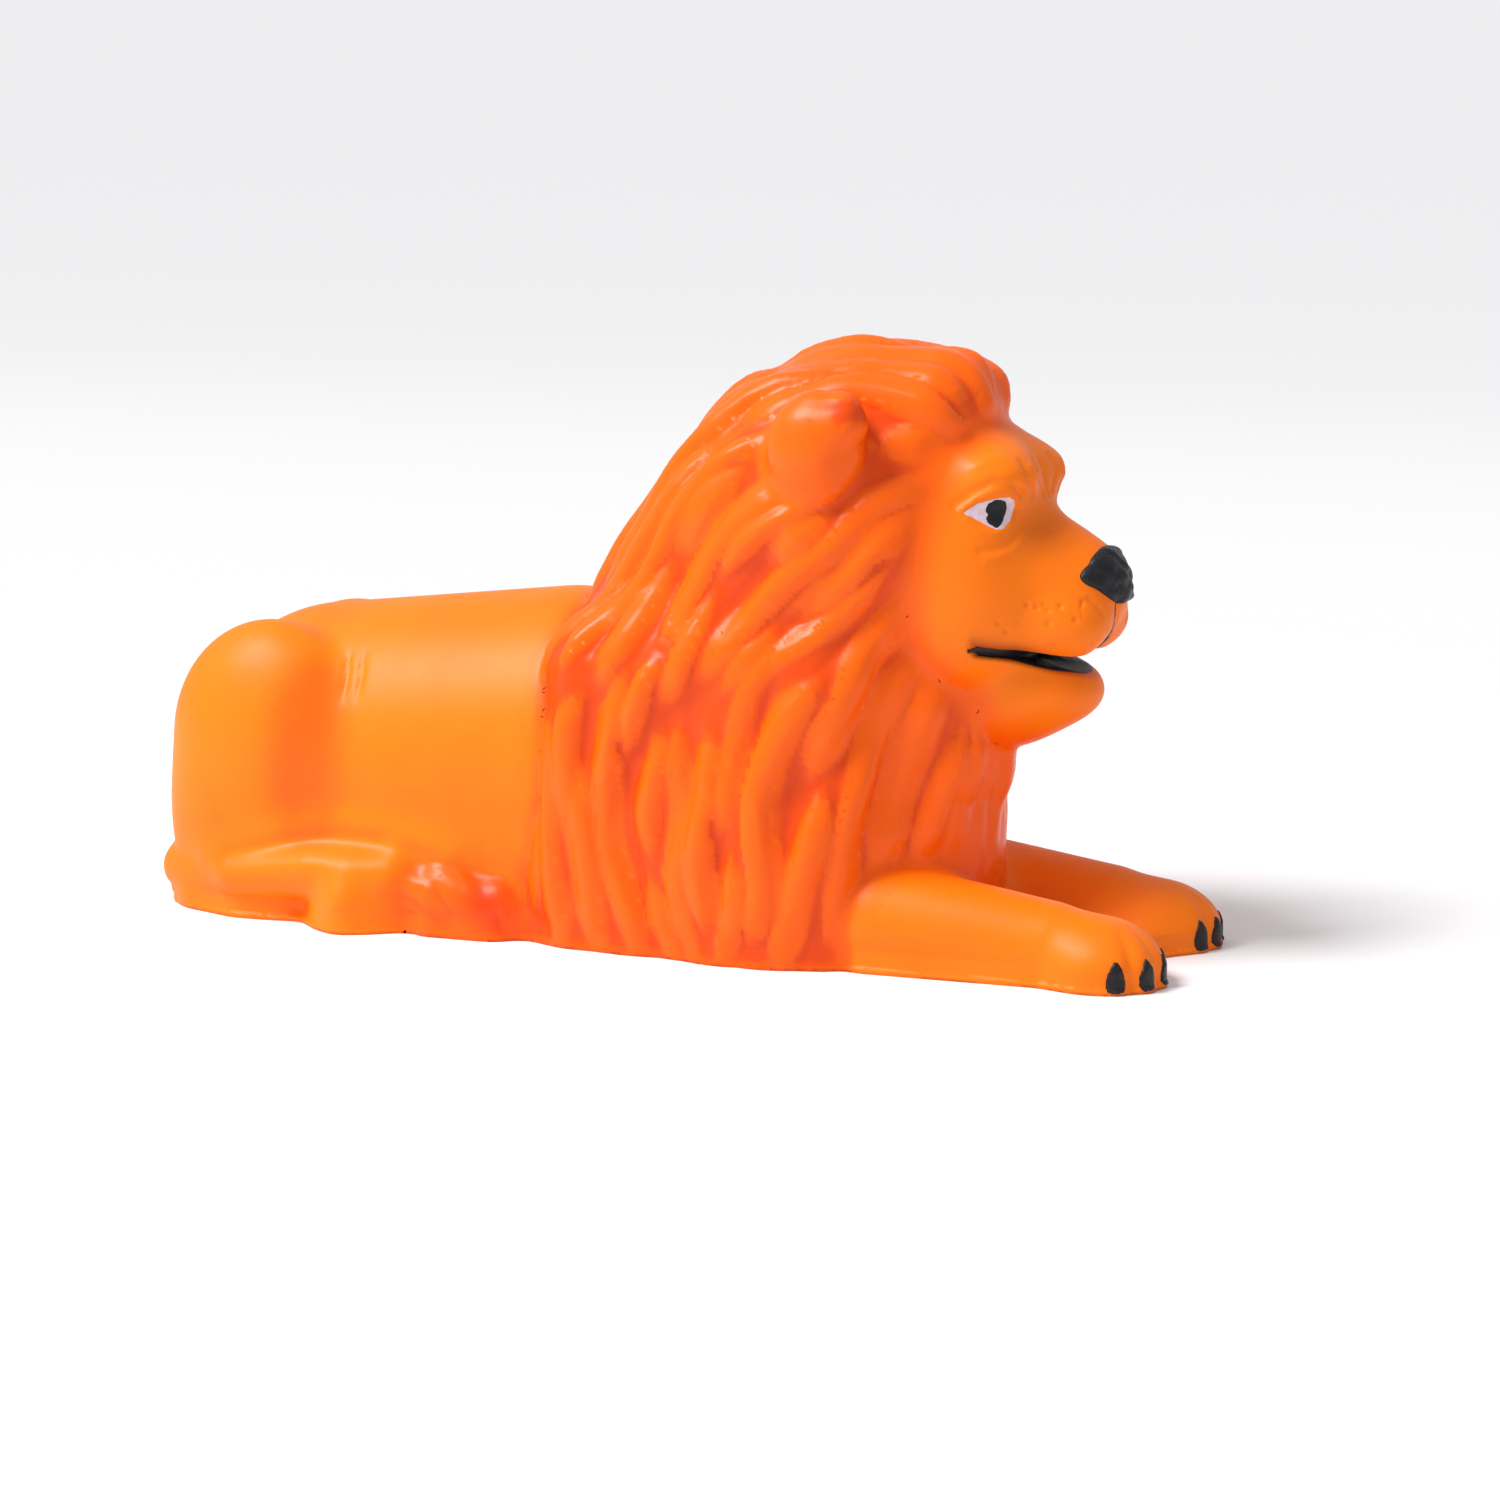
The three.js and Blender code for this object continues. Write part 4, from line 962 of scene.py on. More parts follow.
def normalsOf(places, faces):
    facing = np.cross(places[faces[:, 2]] - places[faces[:, 0]], places[faces[:, 3]] - places[faces[:, 1]])
    sums = np.zeros_like(places)
    for i in range(4):
        for axis in range(3):
            sums[:, axis] += np.bincount(faces[:, i], facing[:, axis], len(places))
    return unit(sums)


def aroundMean(vectors, faces):
    middle = vectors[faces].mean(1)
    sums = np.zeros_like(vectors)
    for i in range(4):
        for axis in range(3):
            sums[:, axis] += np.bincount(faces[:, i], middle[:, axis], len(vectors))
    count = np.bincount(faces.ravel(), minlength=len(vectors))
    return sums / np.maximum(count, 1)[:, None]


def softened(vectors, faces, rounds):
    for _ in range(rounds):
        vectors = unit(aroundMean(vectors, faces))
    return vectors


def smoothed(places, share, faces, rounds):
    for _ in range(rounds):
        places = places + (aroundMean(places, faces) - places) * share[:, None]
    return places


def mirrored(places):
    # every place as it lies on the right side
    return np.stack([places[:, 0], -np.abs(places[:, 1]), places[:, 2]], 1)


# Places that stand fuller than the fields: centre, reach and height
fullerPlaces = [
    ((40.5, 0, 17), 8, 0.9),  # lower chest
    ((3, -11, 57), 9, 0.8),  # back of the head
    ((34, 0, 70), 7, 0.5),  # forelock
    ((17, -5, 67), 7, 0.6),  # crown
    ((-64.5, -14, 3.5), 5, 0.9),  # rear corner of the foot
]
earZones = {
    "smooth": ((21.6, -17, 60.6), (6.8, 6.5, 6.6)), "smoothFade": (1.4, -2.0),
    "paint": ((20.6, -17, 60.6), (5.6, 6.5, 6.4)), "paintFade": (0.8, -1.0), "front": (26, 21.5),
}
raising = {
    "softRounds": 6,  # how far the direction of the relief is evened out
    "frontFrom": 24, "earLess": 0.97, "tuftShare": 0.55, "floorFade": (-1.2, 2.0),
    "smoothAbove": 0.9,
    "hairSmooth": (0.5, 2), "foldSmooth": (0.6, 12), "earSmooth": (0.6, 14),  # share and rounds
    "foldBelow": 0.45, "foldSpread": 3,
}


def swellAt(places):
    here = mirrored(places)
    return sum(high * np.exp(-((here - centre) ** 2).sum(1) / reach ** 2)
               for centre, reach, high in fullerPlaces)


def smoothedBy(places, where, plan):
    share, rounds = plan
    return smoothed(places, where * share, skinQuads, rounds)


# Raise the hair on the whole skin at once, so that the pieces still meet
skinMesh = meshFrom("skin", points, skinQuads)
skinMesh.shade_smooth()
earShare = smoothStep(*earZones["smoothFade"], ball(mirrored(points).T, *earZones["smooth"]))
softMane = np.where(points[:, 0] > raising["frontFrom"], smoothStep(-1.0, 3.0, body - hair), maneShare)
hairShare = np.maximum(softMane, tuftShare * raising["tuftShare"])
hairWeight = hairShare * (1 - earShare * raising["earLess"]) * smoothStep(*raising["floorFade"], points[:, 2])
setNumbers(skinMesh, "reliefShare", hairWeight)
setNumbers(skinMesh, "swell", swellAt(points) * (1 - flat) * smoothStep(0, 1.5, points[:, 2]))
softOut = softened(normalsOf(points, skinQuads), skinQuads, raising["softRounds"])
for axis, name in enumerate(("outX", "outY", "outZ")):
    setNumbers(skinMesh, name, softOut[:, axis])
skin = linked("skin", skinMesh)
raised = runTree(skin, reliefTree(), {**strands, **relief, "finish": finishes["skin"]})
rise = getNumbers(raised, "rise")
moved = placesOf(raised)
moved[:, 2] = np.where(flat, 0, np.maximum(moved[:, 2], 0))
# take the stair steps out of the hair, and the folds out of its tightest grooves
movable = onSkin & (moved[:, 2] > raising["smoothAbove"])
moved = smoothedBy(moved, np.where(movable, hairShare, 0), raising["hairSmooth"])
agree = (normalsOf(moved, skinQuads) * softOut).sum(1)
folded = np.where(movable & (agree < raising["foldBelow"]), 1.0, 0.0)[:, None]
for _ in range(raising["foldSpread"]):
    folded = np.clip(aroundMean(np.repeat(folded, 3, 1), skinQuads)[:, :1] * 2, 0, 1)
moved = smoothedBy(moved, np.where(movable, folded[:, 0], 0), raising["foldSmooth"])
moved = smoothedBy(moved, np.where(movable, earShare, 0), raising["earSmooth"])
moved[~onSkin] = points[~onSkin]
bpy.data.objects.remove(skin)
for strand in strands.values():
    bpy.data.objects.remove(strand)
print("relief raised")


# The body is plain where no hair rises, so there the normals come from the field itself
normals = normalsOf(moved, skinQuads)
agree = (normals * softOut).sum(1)
normals = unit(normals + softOut * np.clip(0.8 - agree, 0, 2)[:, None] * 1.5)
plain = onSkin & (np.abs(rise) < 0.02) & ~flat
normals[plain] = unit(slopeOf(skinField, moved[plain]))
normals[flat & ~near] = (0, 0, -1)

# Spray, painted shade and hollows, which the paint follows
sprayAndShadePlan = {
    "rearFade": 2.2, "faceFade": 4.4, "legFade": 1.8,
    "jaw": ((40.5, 0, 25.5), (6, 9, 5)),
    "tuftRed": ((-18.4, -19.8, 5), 3.4),
    "bridge": ((46, -5.6, 50.6), 3.2),
    # painted shade: centre, size, brown share and extra spray, on the haunch's front and in the valley
    # between the forelegs
    "paintedShade": [((-43.5, -16, 20), (6, 6, 12.5), 0.15, 0.5), ((44, 0, 4), (14, 6, 5), 0.10, 0)],
}


def sprayAt(places, gap):
    x, z = places[:, 0], places[:, 2]
    fade = np.where(x < 5, sprayAndShadePlan["rearFade"], sprayAndShadePlan["faceFade"])
    fade = fade + (sprayAndShadePlan["legFade"] - fade) * smoothStep(5, 20, x) * smoothStep(20, 12, z)
    share = smoothStep(-1, 0.15, gap / fade)
    # under the jaw the mane tone is sprayed on: partly the mane's spray, partly painted shade under the jaw
    under = smoothStep(4.0, -3.0, ball(places.T, *sprayAndShadePlan["jaw"]))
    return np.maximum(share, under * 0.8)


def paintNumbers(places, gap, tuftGap, rise):
    # how far each place is sprayed, hollow (pooled paint and painted shade), red, brown (painted shade,
    # partly overspray) and inked
    p = places.T
    sprayAndShade = np.maximum(sprayAt(places, gap), smoothStep(-2.2, 0.8, tuftGap) * 0.85)
    # hollows of the hair relief: pooled paint and painted shade
    pooledPaintAndShade = smoothStep(0.2, -0.65, rise)
    # painted light: the back of the ear, turned to the lamp, gets less spray and less hollow darkening
    ear = earLitBack(places)
    pooledPaintAndShade = pooledPaintAndShade * (1 - 0.7 * ear)
    sprayAndShade = sprayAndShade * (1 - 0.15 * ear)
    # the tuft's deep red: partly its deepest spray, partly painted shade in its hollow
    centre, reach = sprayAndShadePlan["tuftRed"]
    red = 0.85 * bump(np.linalg.norm(places - centre, axis=1), reach) * smoothStep(-1.5, 1.0, tuftGap)
    # a brown patch in the hollow between eye and nose bridge: partly airbrushed brown, partly painted shade
    centre, reach = sprayAndShadePlan["bridge"]
    folded = mirrored(places)
    # a brown line along the base: painted contact shadow
    brownShade = 0.45 * smoothStep(0.45, 0.1, places[:, 2])
    brownShade += 0.22 * bump(np.linalg.norm(folded - centre, axis=1), reach)
    # painted shade on the haunch's front and between the forelegs: browner, and at the haunch also sprayed
    # redder
    for centre, size, share, shadeSpray in sprayAndShadePlan["paintedShade"]:
        here = smoothStep(2.5, -2.5, ball(folded.T, centre, size))
        brownShade = np.maximum(brownShade, share * here)
        sprayAndShade = np.maximum(sprayAndShade, shadeSpray * here)
    angle, height = mouthPlace(p)
    thick, _ = mouthShape(angle)
    onFace = (p[0] > 36) & (p[2] > 30) & (p[2] < 42)
    along = smoothStep(mouthForm["halfAngle"], mouthForm["halfAngle"] - 5, angle)
    inSlot = smoothStep(0.12, -0.1, np.abs(height) - np.maximum(thick, 0.1)) * along
    ink = np.where(onFace, inSlot, 0)
    # brown fade above and below the mouth line: partly overspray, partly painted shade along the groove
    above = bump(np.maximum(height - thick, 0), 1.1) * smoothStep(35, 75, angle) * along * (height > 0)
    below = bump(np.maximum(-height - thick, 0), 0.35) * along * (height < 0)
    brownShade = np.maximum(brownShade, np.where(onFace, 0.75 * above + 0.4 * below, 0))
    return {"sprayAndShade": sprayAndShade, "pooledPaintAndShade": pooledPaintAndShade, "red": red, "brownShade": brownShade, "ink": ink}


# the back half of the ear, where it is painted lighter as if lit
def earLitBack(places):
    q = mirrored(places).T
    near = smoothStep(*earZones["paintFade"], ball(q, *earZones["paint"]))
    return near * smoothStep(*earZones["front"], q[0])


onSeam = np.zeros(len(points), bool)
onSeam[quads[~outward].ravel()] = True
paintValues = paintNumbers(moved, body - hair, body - tuft, rise)


facingKeys = ("facingX", "facingY", "facingZ")


def makePiece(name, mark, nodes, shaped=None):
    faces = np.concatenate([quads[before == mark], quads[after == mark][:, ::-1]])
    used, inverse = np.unique(faces, return_inverse=True)
    mesh = meshFrom(name, moved[used], inverse.reshape(faces.shape))
    setNumbers(mesh, "wall", ~onSkin[used])
    setNumbers(mesh, "seam", onSeam[used])
    for key, values in paintValues.items():
        setNumbers(mesh, key, values[used])
    for axis, key in enumerate(facingKeys):
        setNumbers(mesh, key, normals[used][:, axis])
    if shaped:
        shaped(mesh)
    mesh.shade_smooth()
    facing = np.stack([getNumbers(mesh, key) for key in facingKeys], 1)
    own = np.zeros(len(mesh.vertices) * 3, np.float32)
    mesh.vertices.foreach_get("normal", own)
    wall = getNumbers(mesh, "wall") > 0
    facing[wall] = own.reshape(-1, 3)[wall]
    mesh.normals_split_custom_set_from_vertices(unit(facing).tolist())
    for key in ("wall", "seam", *facingKeys):
        mesh.attributes.remove(mesh.attributes[key])
    return finished(name, mesh, "skin", nodes)


def finished(name, mesh, finish, nodes):
    mesh.materials.clear()
    mesh.materials.append(finishes[finish])
    piece = linked(name, mesh)
    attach(piece, "root")
    if nodes:
        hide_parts(*nodes)
    mesh.calc_loop_triangles()
    print("piece:", name, len(mesh.loop_triangles), "triangles")
    return piece


faceZones = {
    "split": (38.4, 13.5, (29.5, 61.5)),  # x from, |y| up to, z between: edges here are halved
    "fitted": (38.2, 13.7, (29.3, 61.7)),  # places here are put back on the skin
    "skinGap": 0.6,
}


def inZone(zone, x, y, z):
    fromX, halfWidth, (low, high) = zone
    return (x > fromX) & (abs(y) < halfWidth) & (z > low) & (z < high)


def finerFace(mesh):
    # the face gets half the cell, so that its marks are sharp
    work = bmesh.new()
    work.from_mesh(mesh)
    wall, seam = work.verts.layers.float["wall"], work.verts.layers.float["seam"]

    def inside(v):
        return v[wall] == 0 and v[seam] == 0 and inZone(faceZones["split"], *(c / mm for c in v.co))

    edges = [e for e in work.edges if inside(e.verts[0]) and inside(e.verts[1])]
    bmesh.ops.subdivide_edges(work, edges=edges, cuts=1, use_grid_fill=True)
    work.to_mesh(mesh)
    work.free()
    places = placesOf(mesh)
    face = inZone(faceZones["fitted"], *places.T)
    face &= (getNumbers(mesh, "wall") == 0) & (getNumbers(mesh, "seam") == 0)
    face &= np.abs(skinField(places.T)) < faceZones["skinGap"]
    places[face] = ontoSkin(skinField, places[face], 3, 0.2)
    mesh.vertices.foreach_set("co", (places * mm).ravel().astype(np.float32))
    body, hair, tuft, _ = fields(places[face].T)
    facing = unit(slopeOf(skinField, places[face]))
    fresh = paintNumbers(places[face], body - hair, body - tuft, np.zeros(face.sum()))
    fresh.update(zip(facingKeys, facing.T))
    for key, values in fresh.items():
        whole = getNumbers(mesh, key)
        whole[face] = values
        mesh.attributes[key].data.foreach_set("value", whole)


makePiece("lionBody", bodyPiece, ["body"], finerFace)
makePiece("lionMane", manePiece, ["mane"])
makePiece("tailTuft", tuftPiece, ["tail_tuft"])


# Paint: thin films that lie on the skin and dip under it at their edges
def dropped(starts, inward):
    # follow each ray to the skin
    places = starts.copy()
    for _ in range(90):
        gap = skinField(places.T)
        places = places + inward * np.clip(gap * 0.8, -0.4, 2)[:, None]
    return places


def closedCurve(stops, pieces):
    ring = list(stops)
    line = along(ring[-2:] + ring + ring[:3], (len(ring) + 4) * pieces)
    return line[2 * pieces:(len(ring) + 2) * pieces]


def filmMesh(name, outer, dip, rings, sectors):
    # the first place is the middle, then ring after ring; the inner face lies dip under the outer one
    count = len(outer)
    slope = unit(slopeOf(skinField, outer))
    inner = outer - slope * dip
    faces = []

    def at(ring, sector):
        return 1 + ring * sectors + sector % sectors

    def bothSides(*corners):
        faces.append(corners)
        faces.append(tuple(count + c for c in reversed(corners)))

    for s in range(sectors):
        bothSides(0, at(0, s), at(0, s + 1))
        for r in range(rings - 1):
            bothSides(at(r, s), at(r + 1, s), at(r + 1, s + 1), at(r, s + 1))
        a, b = at(rings - 1, s), at(rings - 1, s + 1)
        faces.append((a, count + a, count + b, b))
    mesh = bpy.data.meshes.new(name)
    mesh.from_pydata((np.vstack([outer, inner]) * mm).tolist(), [], faces)
    mesh.shade_smooth()
    return mesh


filmForm = {"rings": 10, "start": 5, "dip": 0.35, "sunkEdge": 0.04, "waves": (5, 9, 14, 23)}


def film(name, centre, outward, outline, rise, finish, nodes, ragged, seed):
    # outline: places across and up from the centre, seen from outside
    outward = np.array(outward, float) / np.linalg.norm(outward)
    across = np.cross((0, 0, 1), outward)
    across = across / np.linalg.norm(across)
    up = np.cross(outward, across)
    edge = closedCurve(outline, 10)
    sectors = len(edge)
    turn = np.linspace(0, 2 * math.pi, sectors, endpoint=False)
    rng = np.random.default_rng(seed)
    wobble = sum(np.sin(turn * k + rng.uniform(0, 6.3)) * rng.uniform(0.4, 1) for k in filmForm["waves"])
    edge = edge * (1 + ragged * wobble)[:, None]
    rings = filmForm["rings"]
    share = np.sin(np.linspace(0, math.pi / 2, rings + 1))[1:]
    flatPlaces = np.vstack([[0, 0], (share[:, None, None] * edge[None]).reshape(-1, 2)])
    starts = centre + across * flatPlaces[:, :1] + up * flatPlaces[:, 1:] + outward * filmForm["start"]
    places = dropped(starts, -outward)
    height = np.concatenate([[1], np.repeat(np.sqrt(np.maximum(1 - share ** 6, 0)), sectors)])
    places = places + unit(slopeOf(skinField, places)) * (rise * height - filmForm["sunkEdge"])[:, None]
    return finished(name, filmMesh(name, places, filmForm["dip"], rings, sectors), finish, nodes)


eyePlan = {
    "centre": (42.2, -10, 53.2),
    "outward": (0.75, -0.66, 0.0),
    "white": [(-3.75, 0.2), (-2.2, 1.15), (-0.6, 1.7), (0.6, 1.9), (1.6, 1.85), (2.4, 1.4), (2.6, 0.55),
              (2.0, -0.75), (1.2, -1.4), (0.4, -1.75), (-0.8, -1.55), (-2.0, -0.8), (-3.0, -0.25)],
    "pupil": [(0.1, 1.7), (1.1, 1.6), (1.55, 0.9), (1.45, 0.1), (1.0, -0.75), (0.4, -1.4), (-0.3, -1.6),
              (-1.05, -1.1), (-1.3, -0.5), (-1.05, -0.1), (-1.25, 0.4), (-1.1, 1.1), (-0.6, 1.5)],
}
eyeCoats = {
    "white": {"node": "eye_white_", "rise": 0.14, "finish": "white", "slot": "eye_paint", "seed": 5},
    "pupil": {"node": "pupil_", "rise": 0.24, "finish": "black", "slot": "dark_paint", "seed": 8},
}


def paintEye(sideName, mirror):
    x, y, z = eyePlan["centre"]
    ox, oy, oz = eyePlan["outward"]
    for part, coat in eyeCoats.items():
        outline = eyePlan[part] if mirror == 1 else [(-a, b) for a, b in reversed(eyePlan[part])]
        film(part + sideName.capitalize(), (x, y * mirror, z), (ox, oy * mirror, oz), outline, coat["rise"],
             coat["finish"], [coat["node"] + sideName], 0.012, coat["seed"])


paintEye("right", 1)
paintEye("left", -1)

clawPlan = {
    "angles": (-60, -27, 5, 32),
    "height": 1.4,
    "outline": [(0, 1.95), (0.6, 1.3), (1.0, 0.2), (1.12, -0.9), (0.9, -1.55), (0, -1.7), (-0.9, -1.55),
                (-1.12, -0.9), (-1.05, 0.2), (-0.55, 1.3)],
    "rise": 0.3,
}


def paintClaws(sideName, mirror):
    (px, py, _), (reach, _, _) = foreForm["paw"]
    for count, degrees in enumerate(clawPlan["angles"], 1):
        angle = math.radians(degrees)
        outward = (math.cos(angle), -mirror * math.sin(angle), 0.12)
        centre = (px + math.cos(angle) * reach, mirror * abs(py) - mirror * math.sin(angle) * reach,
                  clawPlan["height"] + 0.6)
        film(f"claw{sideName.capitalize()}{count}", centre, outward, clawPlan["outline"], clawPlan["rise"],
             "claw", [f"claw_{sideName}_{count}"], 0.02, 20 + count)


paintClaws("right", -1)
paintClaws("left", 1)


def stripMesh(name, rows):
    # rows of places across a closed strip: outer rows, then the same under the skin
    outer, inner = rows
    count, width = outer.shape[:2]
    total = count * width
    faces = []
    for i in range(count - 1):
        for j in range(width - 1):
            a, b, c, d = i * width + j, (i + 1) * width + j, (i + 1) * width + j + 1, i * width + j + 1
            faces.append((a, b, c, d))
            faces.append((total + d, total + c, total + b, total + a))
        for j, turned in ((0, True), (width - 1, False)):
            a, b = i * width + j, (i + 1) * width + j
            faces.append((a, total + a, total + b, b) if turned else (b, total + b, total + a, a))
    for i, turned in ((0, False), (count - 1, True)):
        for j in range(width - 1):
            a, b = i * width + j, i * width + j + 1
            faces.append((a, total + a, total + b, b) if turned else (b, total + b, total + a, a))
    mesh = bpy.data.meshes.new(name)
    places = np.concatenate([outer.reshape(-1, 3), inner.reshape(-1, 3)])
    mesh.from_pydata((places * mm).tolist(), [], faces)
    work = bmesh.new()
    work.from_mesh(mesh)
    bmesh.ops.recalc_face_normals(work, faces=work.faces)
    work.to_mesh(mesh)
    work.free()
    mesh.shade_smooth()
    return mesh


lipPlan = {
    "stations": 160, "rows": 11, "reach": 0.9,  # share of the slot's height that the paint covers
    "leastThick": 0.3, "start": 17, "aim": 10, "rise": 0.12, "sunkEdge": 0.03, "depth": 0.4,
}


def lipLine():
    stations, rows = lipPlan["stations"], lipPlan["rows"]
    end = mouthForm["halfAngle"] - 1
    angle = np.linspace(-end, end, stations)
    thick, _ = mouthShape(np.abs(angle))
    thick = np.maximum(thick, lipPlan["leastThick"])
    ahead = np.cos(np.radians(angle))
    outward = np.stack([ahead, np.sin(np.radians(angle)), np.zeros(stations)], 1)
    across = np.linspace(-lipPlan["reach"], lipPlan["reach"], rows)
    starts = np.zeros((stations, rows, 3))
    for j, b in enumerate(across):
        starts[:, j] = outward * lipPlan["start"] + (mouthForm["centreX"], 0, 0)
        starts[:, j, 2] = mouthForm["z"] - mouthForm["fall"] * ahead * lipPlan["aim"] + b * thick
    inward = np.repeat(-outward[:, None], rows, 1).reshape(-1, 3)
    places = dropped(starts.reshape(-1, 3), inward)
    slope = unit(slopeOf(skinField, places))
    edge = 1 - np.abs(across) ** 8
    height = np.repeat((lipPlan["rise"] * edge)[None], stations, 0).reshape(-1, 1) - lipPlan["sunkEdge"]
    outer = (places + slope * height).reshape(stations, rows, 3)
    inner = (places - slope * lipPlan["depth"]).reshape(stations, rows, 3)
    finished("lipLine", stripMesh("lipLine", (outer, inner)), "ink", ["lip_line"])


def paintStroke(name, stops, halfWidth, rise, finish, nodes):
    # a brushed line through the stops, thinning at its ends
    line = along(stops, 12 * (len(stops) - 1))
    line = ontoSkin(skinField, line, 6, 0.6)
    slope = unit(slopeOf(skinField, line))
    forward = unit(np.gradient(line, axis=0))
    beside = np.cross(slope, forward)
    share = np.linspace(0, 1, len(line))
    taper = np.clip(share * 9, 0.4, 1) * (0.75 + 0.9 * share ** 3)
    across = np.linspace(-1, 1, 7)
    places = line[:, None] + beside[:, None] * (across[None, :, None] * halfWidth * taper[:, None, None])
    places = ontoSkin(skinField, places.reshape(-1, 3), 3, 0.3)
    slope = unit(slopeOf(skinField, places))
    height = np.tile(rise * (1 - across ** 4) - 0.03, len(line))[:, None]
    outer = (places + slope * height).reshape(len(line), 7, 3)
    inner = (places - slope * 0.3).reshape(len(line), 7, 3)
    return finished(name, stripMesh(name, (outer, inner)), finish, nodes)


lipLine()
paintStroke("philtrum", faceMarks["lipSeam"], 0.36, 0.08, "ink", ["philtrum"])

# Nose: a lumpy coat of dark paint over the end of the muzzle
nosePlan = {
    "pad": ((54.4, 0, 46.1), (5.0, 6.0, 3.35)),
    "wing": ((51.9, -4.9, 45.9), (1.3, 1.3, 0.9)),
    "foot": ((54.6, -1.4, 44.0), (1.6, 1.9, 1.2)),
    "coat": 0.5,
    "cell": 0.24,
}


def noseLevel(p):
    n = nosePlan
    q = (p[0], -np.abs(p[1]), p[2])
    zone = join(ball(p, *n["pad"]), ball(q, *n["wing"]), 1.2)
    zone = join(zone, ball(q, *n["foot"]), 1.2)
    skin = skinField(p)
    lumps = 0.13 * np.sin(p[1] * 1.9 + 0.6) * np.sin(p[2] * 2.3) + 0.04 * np.sin(p[1] * 3.6 + p[2] * 3.1)
    nostril = 0.45 * bump(np.sqrt((q[1] + 2.5) ** 2 + (q[2] - 44.6) ** 2 * 2), 0.8)
    coat = -join(-(skin - n["coat"] - lumps + nostril), -zone, 0.7)
    return np.maximum(coat, -skin - 0.7)


def makeNose():
    cell = nosePlan["cell"]
    xs, ys, zs = np.arange(47.5, 58, cell), np.arange(-7, 7.01, cell), np.arange(39.5, 51, cell)
    grid = np.meshgrid(xs, ys, zs, indexing="ij")
    level = noseLevel([g.ravel() for g in grid]).reshape(grid[0].shape)
    label = (level < 0).astype(np.int8)
    places, _, faces, low, _ = netOf(xs, ys, zs, level, label, level)
    places = ontoSkin(noseLevel, places, 3, 0.2)
    faces = np.where((low == 0)[:, None], faces[:, ::-1], faces)
    mesh = meshFrom("nosePad", places, faces)
    mesh.shade_smooth()
    finished("nosePad", mesh, "nose", ["nose"])


makeNose()
for name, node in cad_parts.items():
    if not node.hide_render:
        print("still shown:", name)

# Room: pale floor, soft light and the photograph's camera
view = {"azimuth": 22, "elevation": 9.2, "roll": 0.3, "distance": 480, "target": (7.8, 0, 22.1),
        "pixelsPerMm": 8.24}
picture = 1500
room = {
    "keyPlace": (-400, -370, 720), "keySize": (0.38, 0.38), "keyPower": 9.8,
    "sky": 0.58,
    "wallAt": 0.9, "wallBend": 0.6, "wallTop": 1.6,
    "glowNear": (1.0, 1.0, 1.0), "glowFar": (0.855, 0.855, 0.87),
}


def makeCamera():
    azimuth, elevation = math.radians(view["azimuth"]), math.radians(view["elevation"])
    back = Vector((math.sin(azimuth) * math.cos(elevation), -math.cos(azimuth) * math.cos(elevation),
                   math.sin(elevation)))
    data = bpy.data.cameras.new("camera")
    data.sensor_width = 36
    data.lens = 36 * view["pixelsPerMm"] * view["distance"] / picture
    data.clip_start = 0.01
    data.clip_end = 20
    camera = linked("camera", data)
    camera.location = (Vector(view["target"]) + back * view["distance"]) * mm
    turn = (-back).to_track_quat("-Z", "Y") @ Quaternion((0, 0, 1), math.radians(view["roll"]))
    camera.rotation_euler = turn.to_euler()
    bpy.context.scene.camera = camera


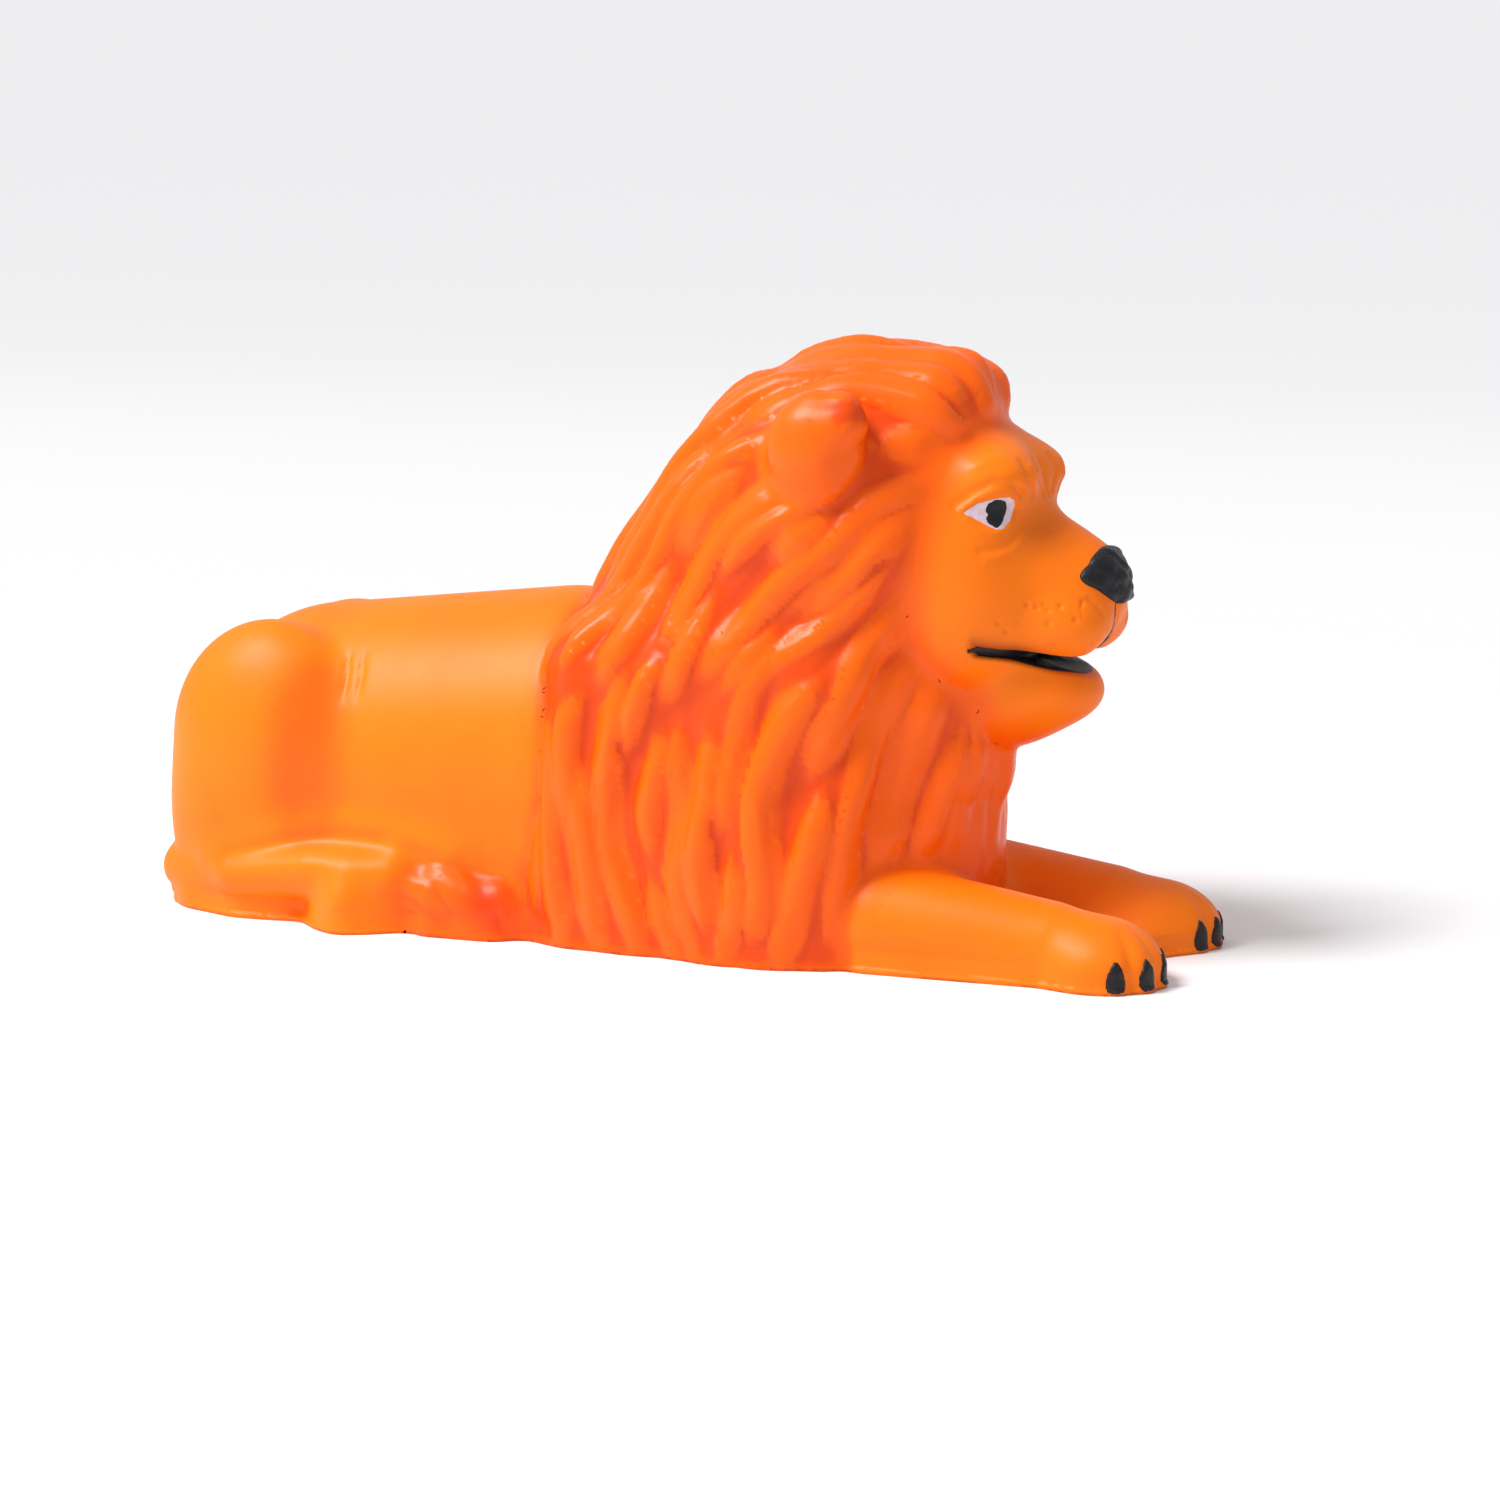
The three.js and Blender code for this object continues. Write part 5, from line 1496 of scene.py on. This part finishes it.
def makeFloor():
    # a paper sweep: flat, then curving up far behind the lion; away from the lion it glows for the camera,
    # white near and greyer far back, as painted light
    f = Finish("floorPaper")
    f.set(Base_Color=(0.9, 0.9, 0.9, 1), Roughness=0.7)
    x, y, z = (f.node("ShaderNodeSeparateXYZ", {}, {0: f.place()}, axis) for axis in "XYZ")
    far = f.step(y + z, 0.25, 1.3)
    apart = f.maths("SQRT", x * x + (y * y) * 1.6)
    seen = f.node("ShaderNodeLightPath", {}, {}, "Is Camera Ray")
    # painted light: the glow fades from white near the lion to grey towards the back
    glowTone = f.mix(far, (*room["glowNear"], 1), (*room["glowFar"], 1))
    glow = f.node("ShaderNodeEmission", {}, {"Color": glowTone})
    share = f.step(apart, 0.16, 0.42) * seen
    both = f.node("ShaderNodeMixShader", {}, {0: share, 1: Shade(f, f.shader.outputs[0]), 2: glow})
    f.tree.links.new(both.socket, f.tree.nodes["Material Output"].inputs["Surface"])
    wall, bend, top = room["wallAt"], room["wallBend"], room["wallTop"]
    profile = [(-3, 0), (wall, 0)]
    for i in range(1, 17):
        angle = i / 16 * math.pi / 2
        profile.append((wall + bend * math.sin(angle), bend * (1 - math.cos(angle))))
    profile.append((wall + bend, top))
    verts = [(x, y, z) for y, z in profile for x in (-4, 4)]
    faces = [(2 * i, 2 * i + 1, 2 * i + 3, 2 * i + 2) for i in range(len(profile) - 1)]
    mesh = bpy.data.meshes.new("floor")
    mesh.from_pydata(verts, [], faces)
    mesh.shade_smooth()
    mesh.materials.append(f.material)
    floor = linked("floor", mesh)


def makeLamp(name, place, size, power, aim=(0, 0, 30)):
    data = bpy.data.lights.new(name, "AREA")
    data.shape = "RECTANGLE"
    data.size, data.size_y = size
    data.energy = power
    lamp = linked(name, data)
    lamp.location = Vector(place) * mm
    lamp.rotation_euler = (Vector(aim) - Vector(place)).to_track_quat("-Z", "Y").to_euler()


def makeWorld():
    world = bpy.data.worlds.new("world")
    bpy.context.scene.world = world
    world.use_nodes = True
    background = world.node_tree.nodes["Background"]
    background.inputs["Color"].default_value = (0.97, 0.97, 1.0, 1)
    background.inputs["Strength"].default_value = room["sky"]


makeCamera()
makeFloor()
makeLamp("keyLamp", room["keyPlace"], room["keySize"], room["keyPower"])
makeWorld()
bpy.context.scene.view_settings.view_transform = "Standard"
print("scene ready")
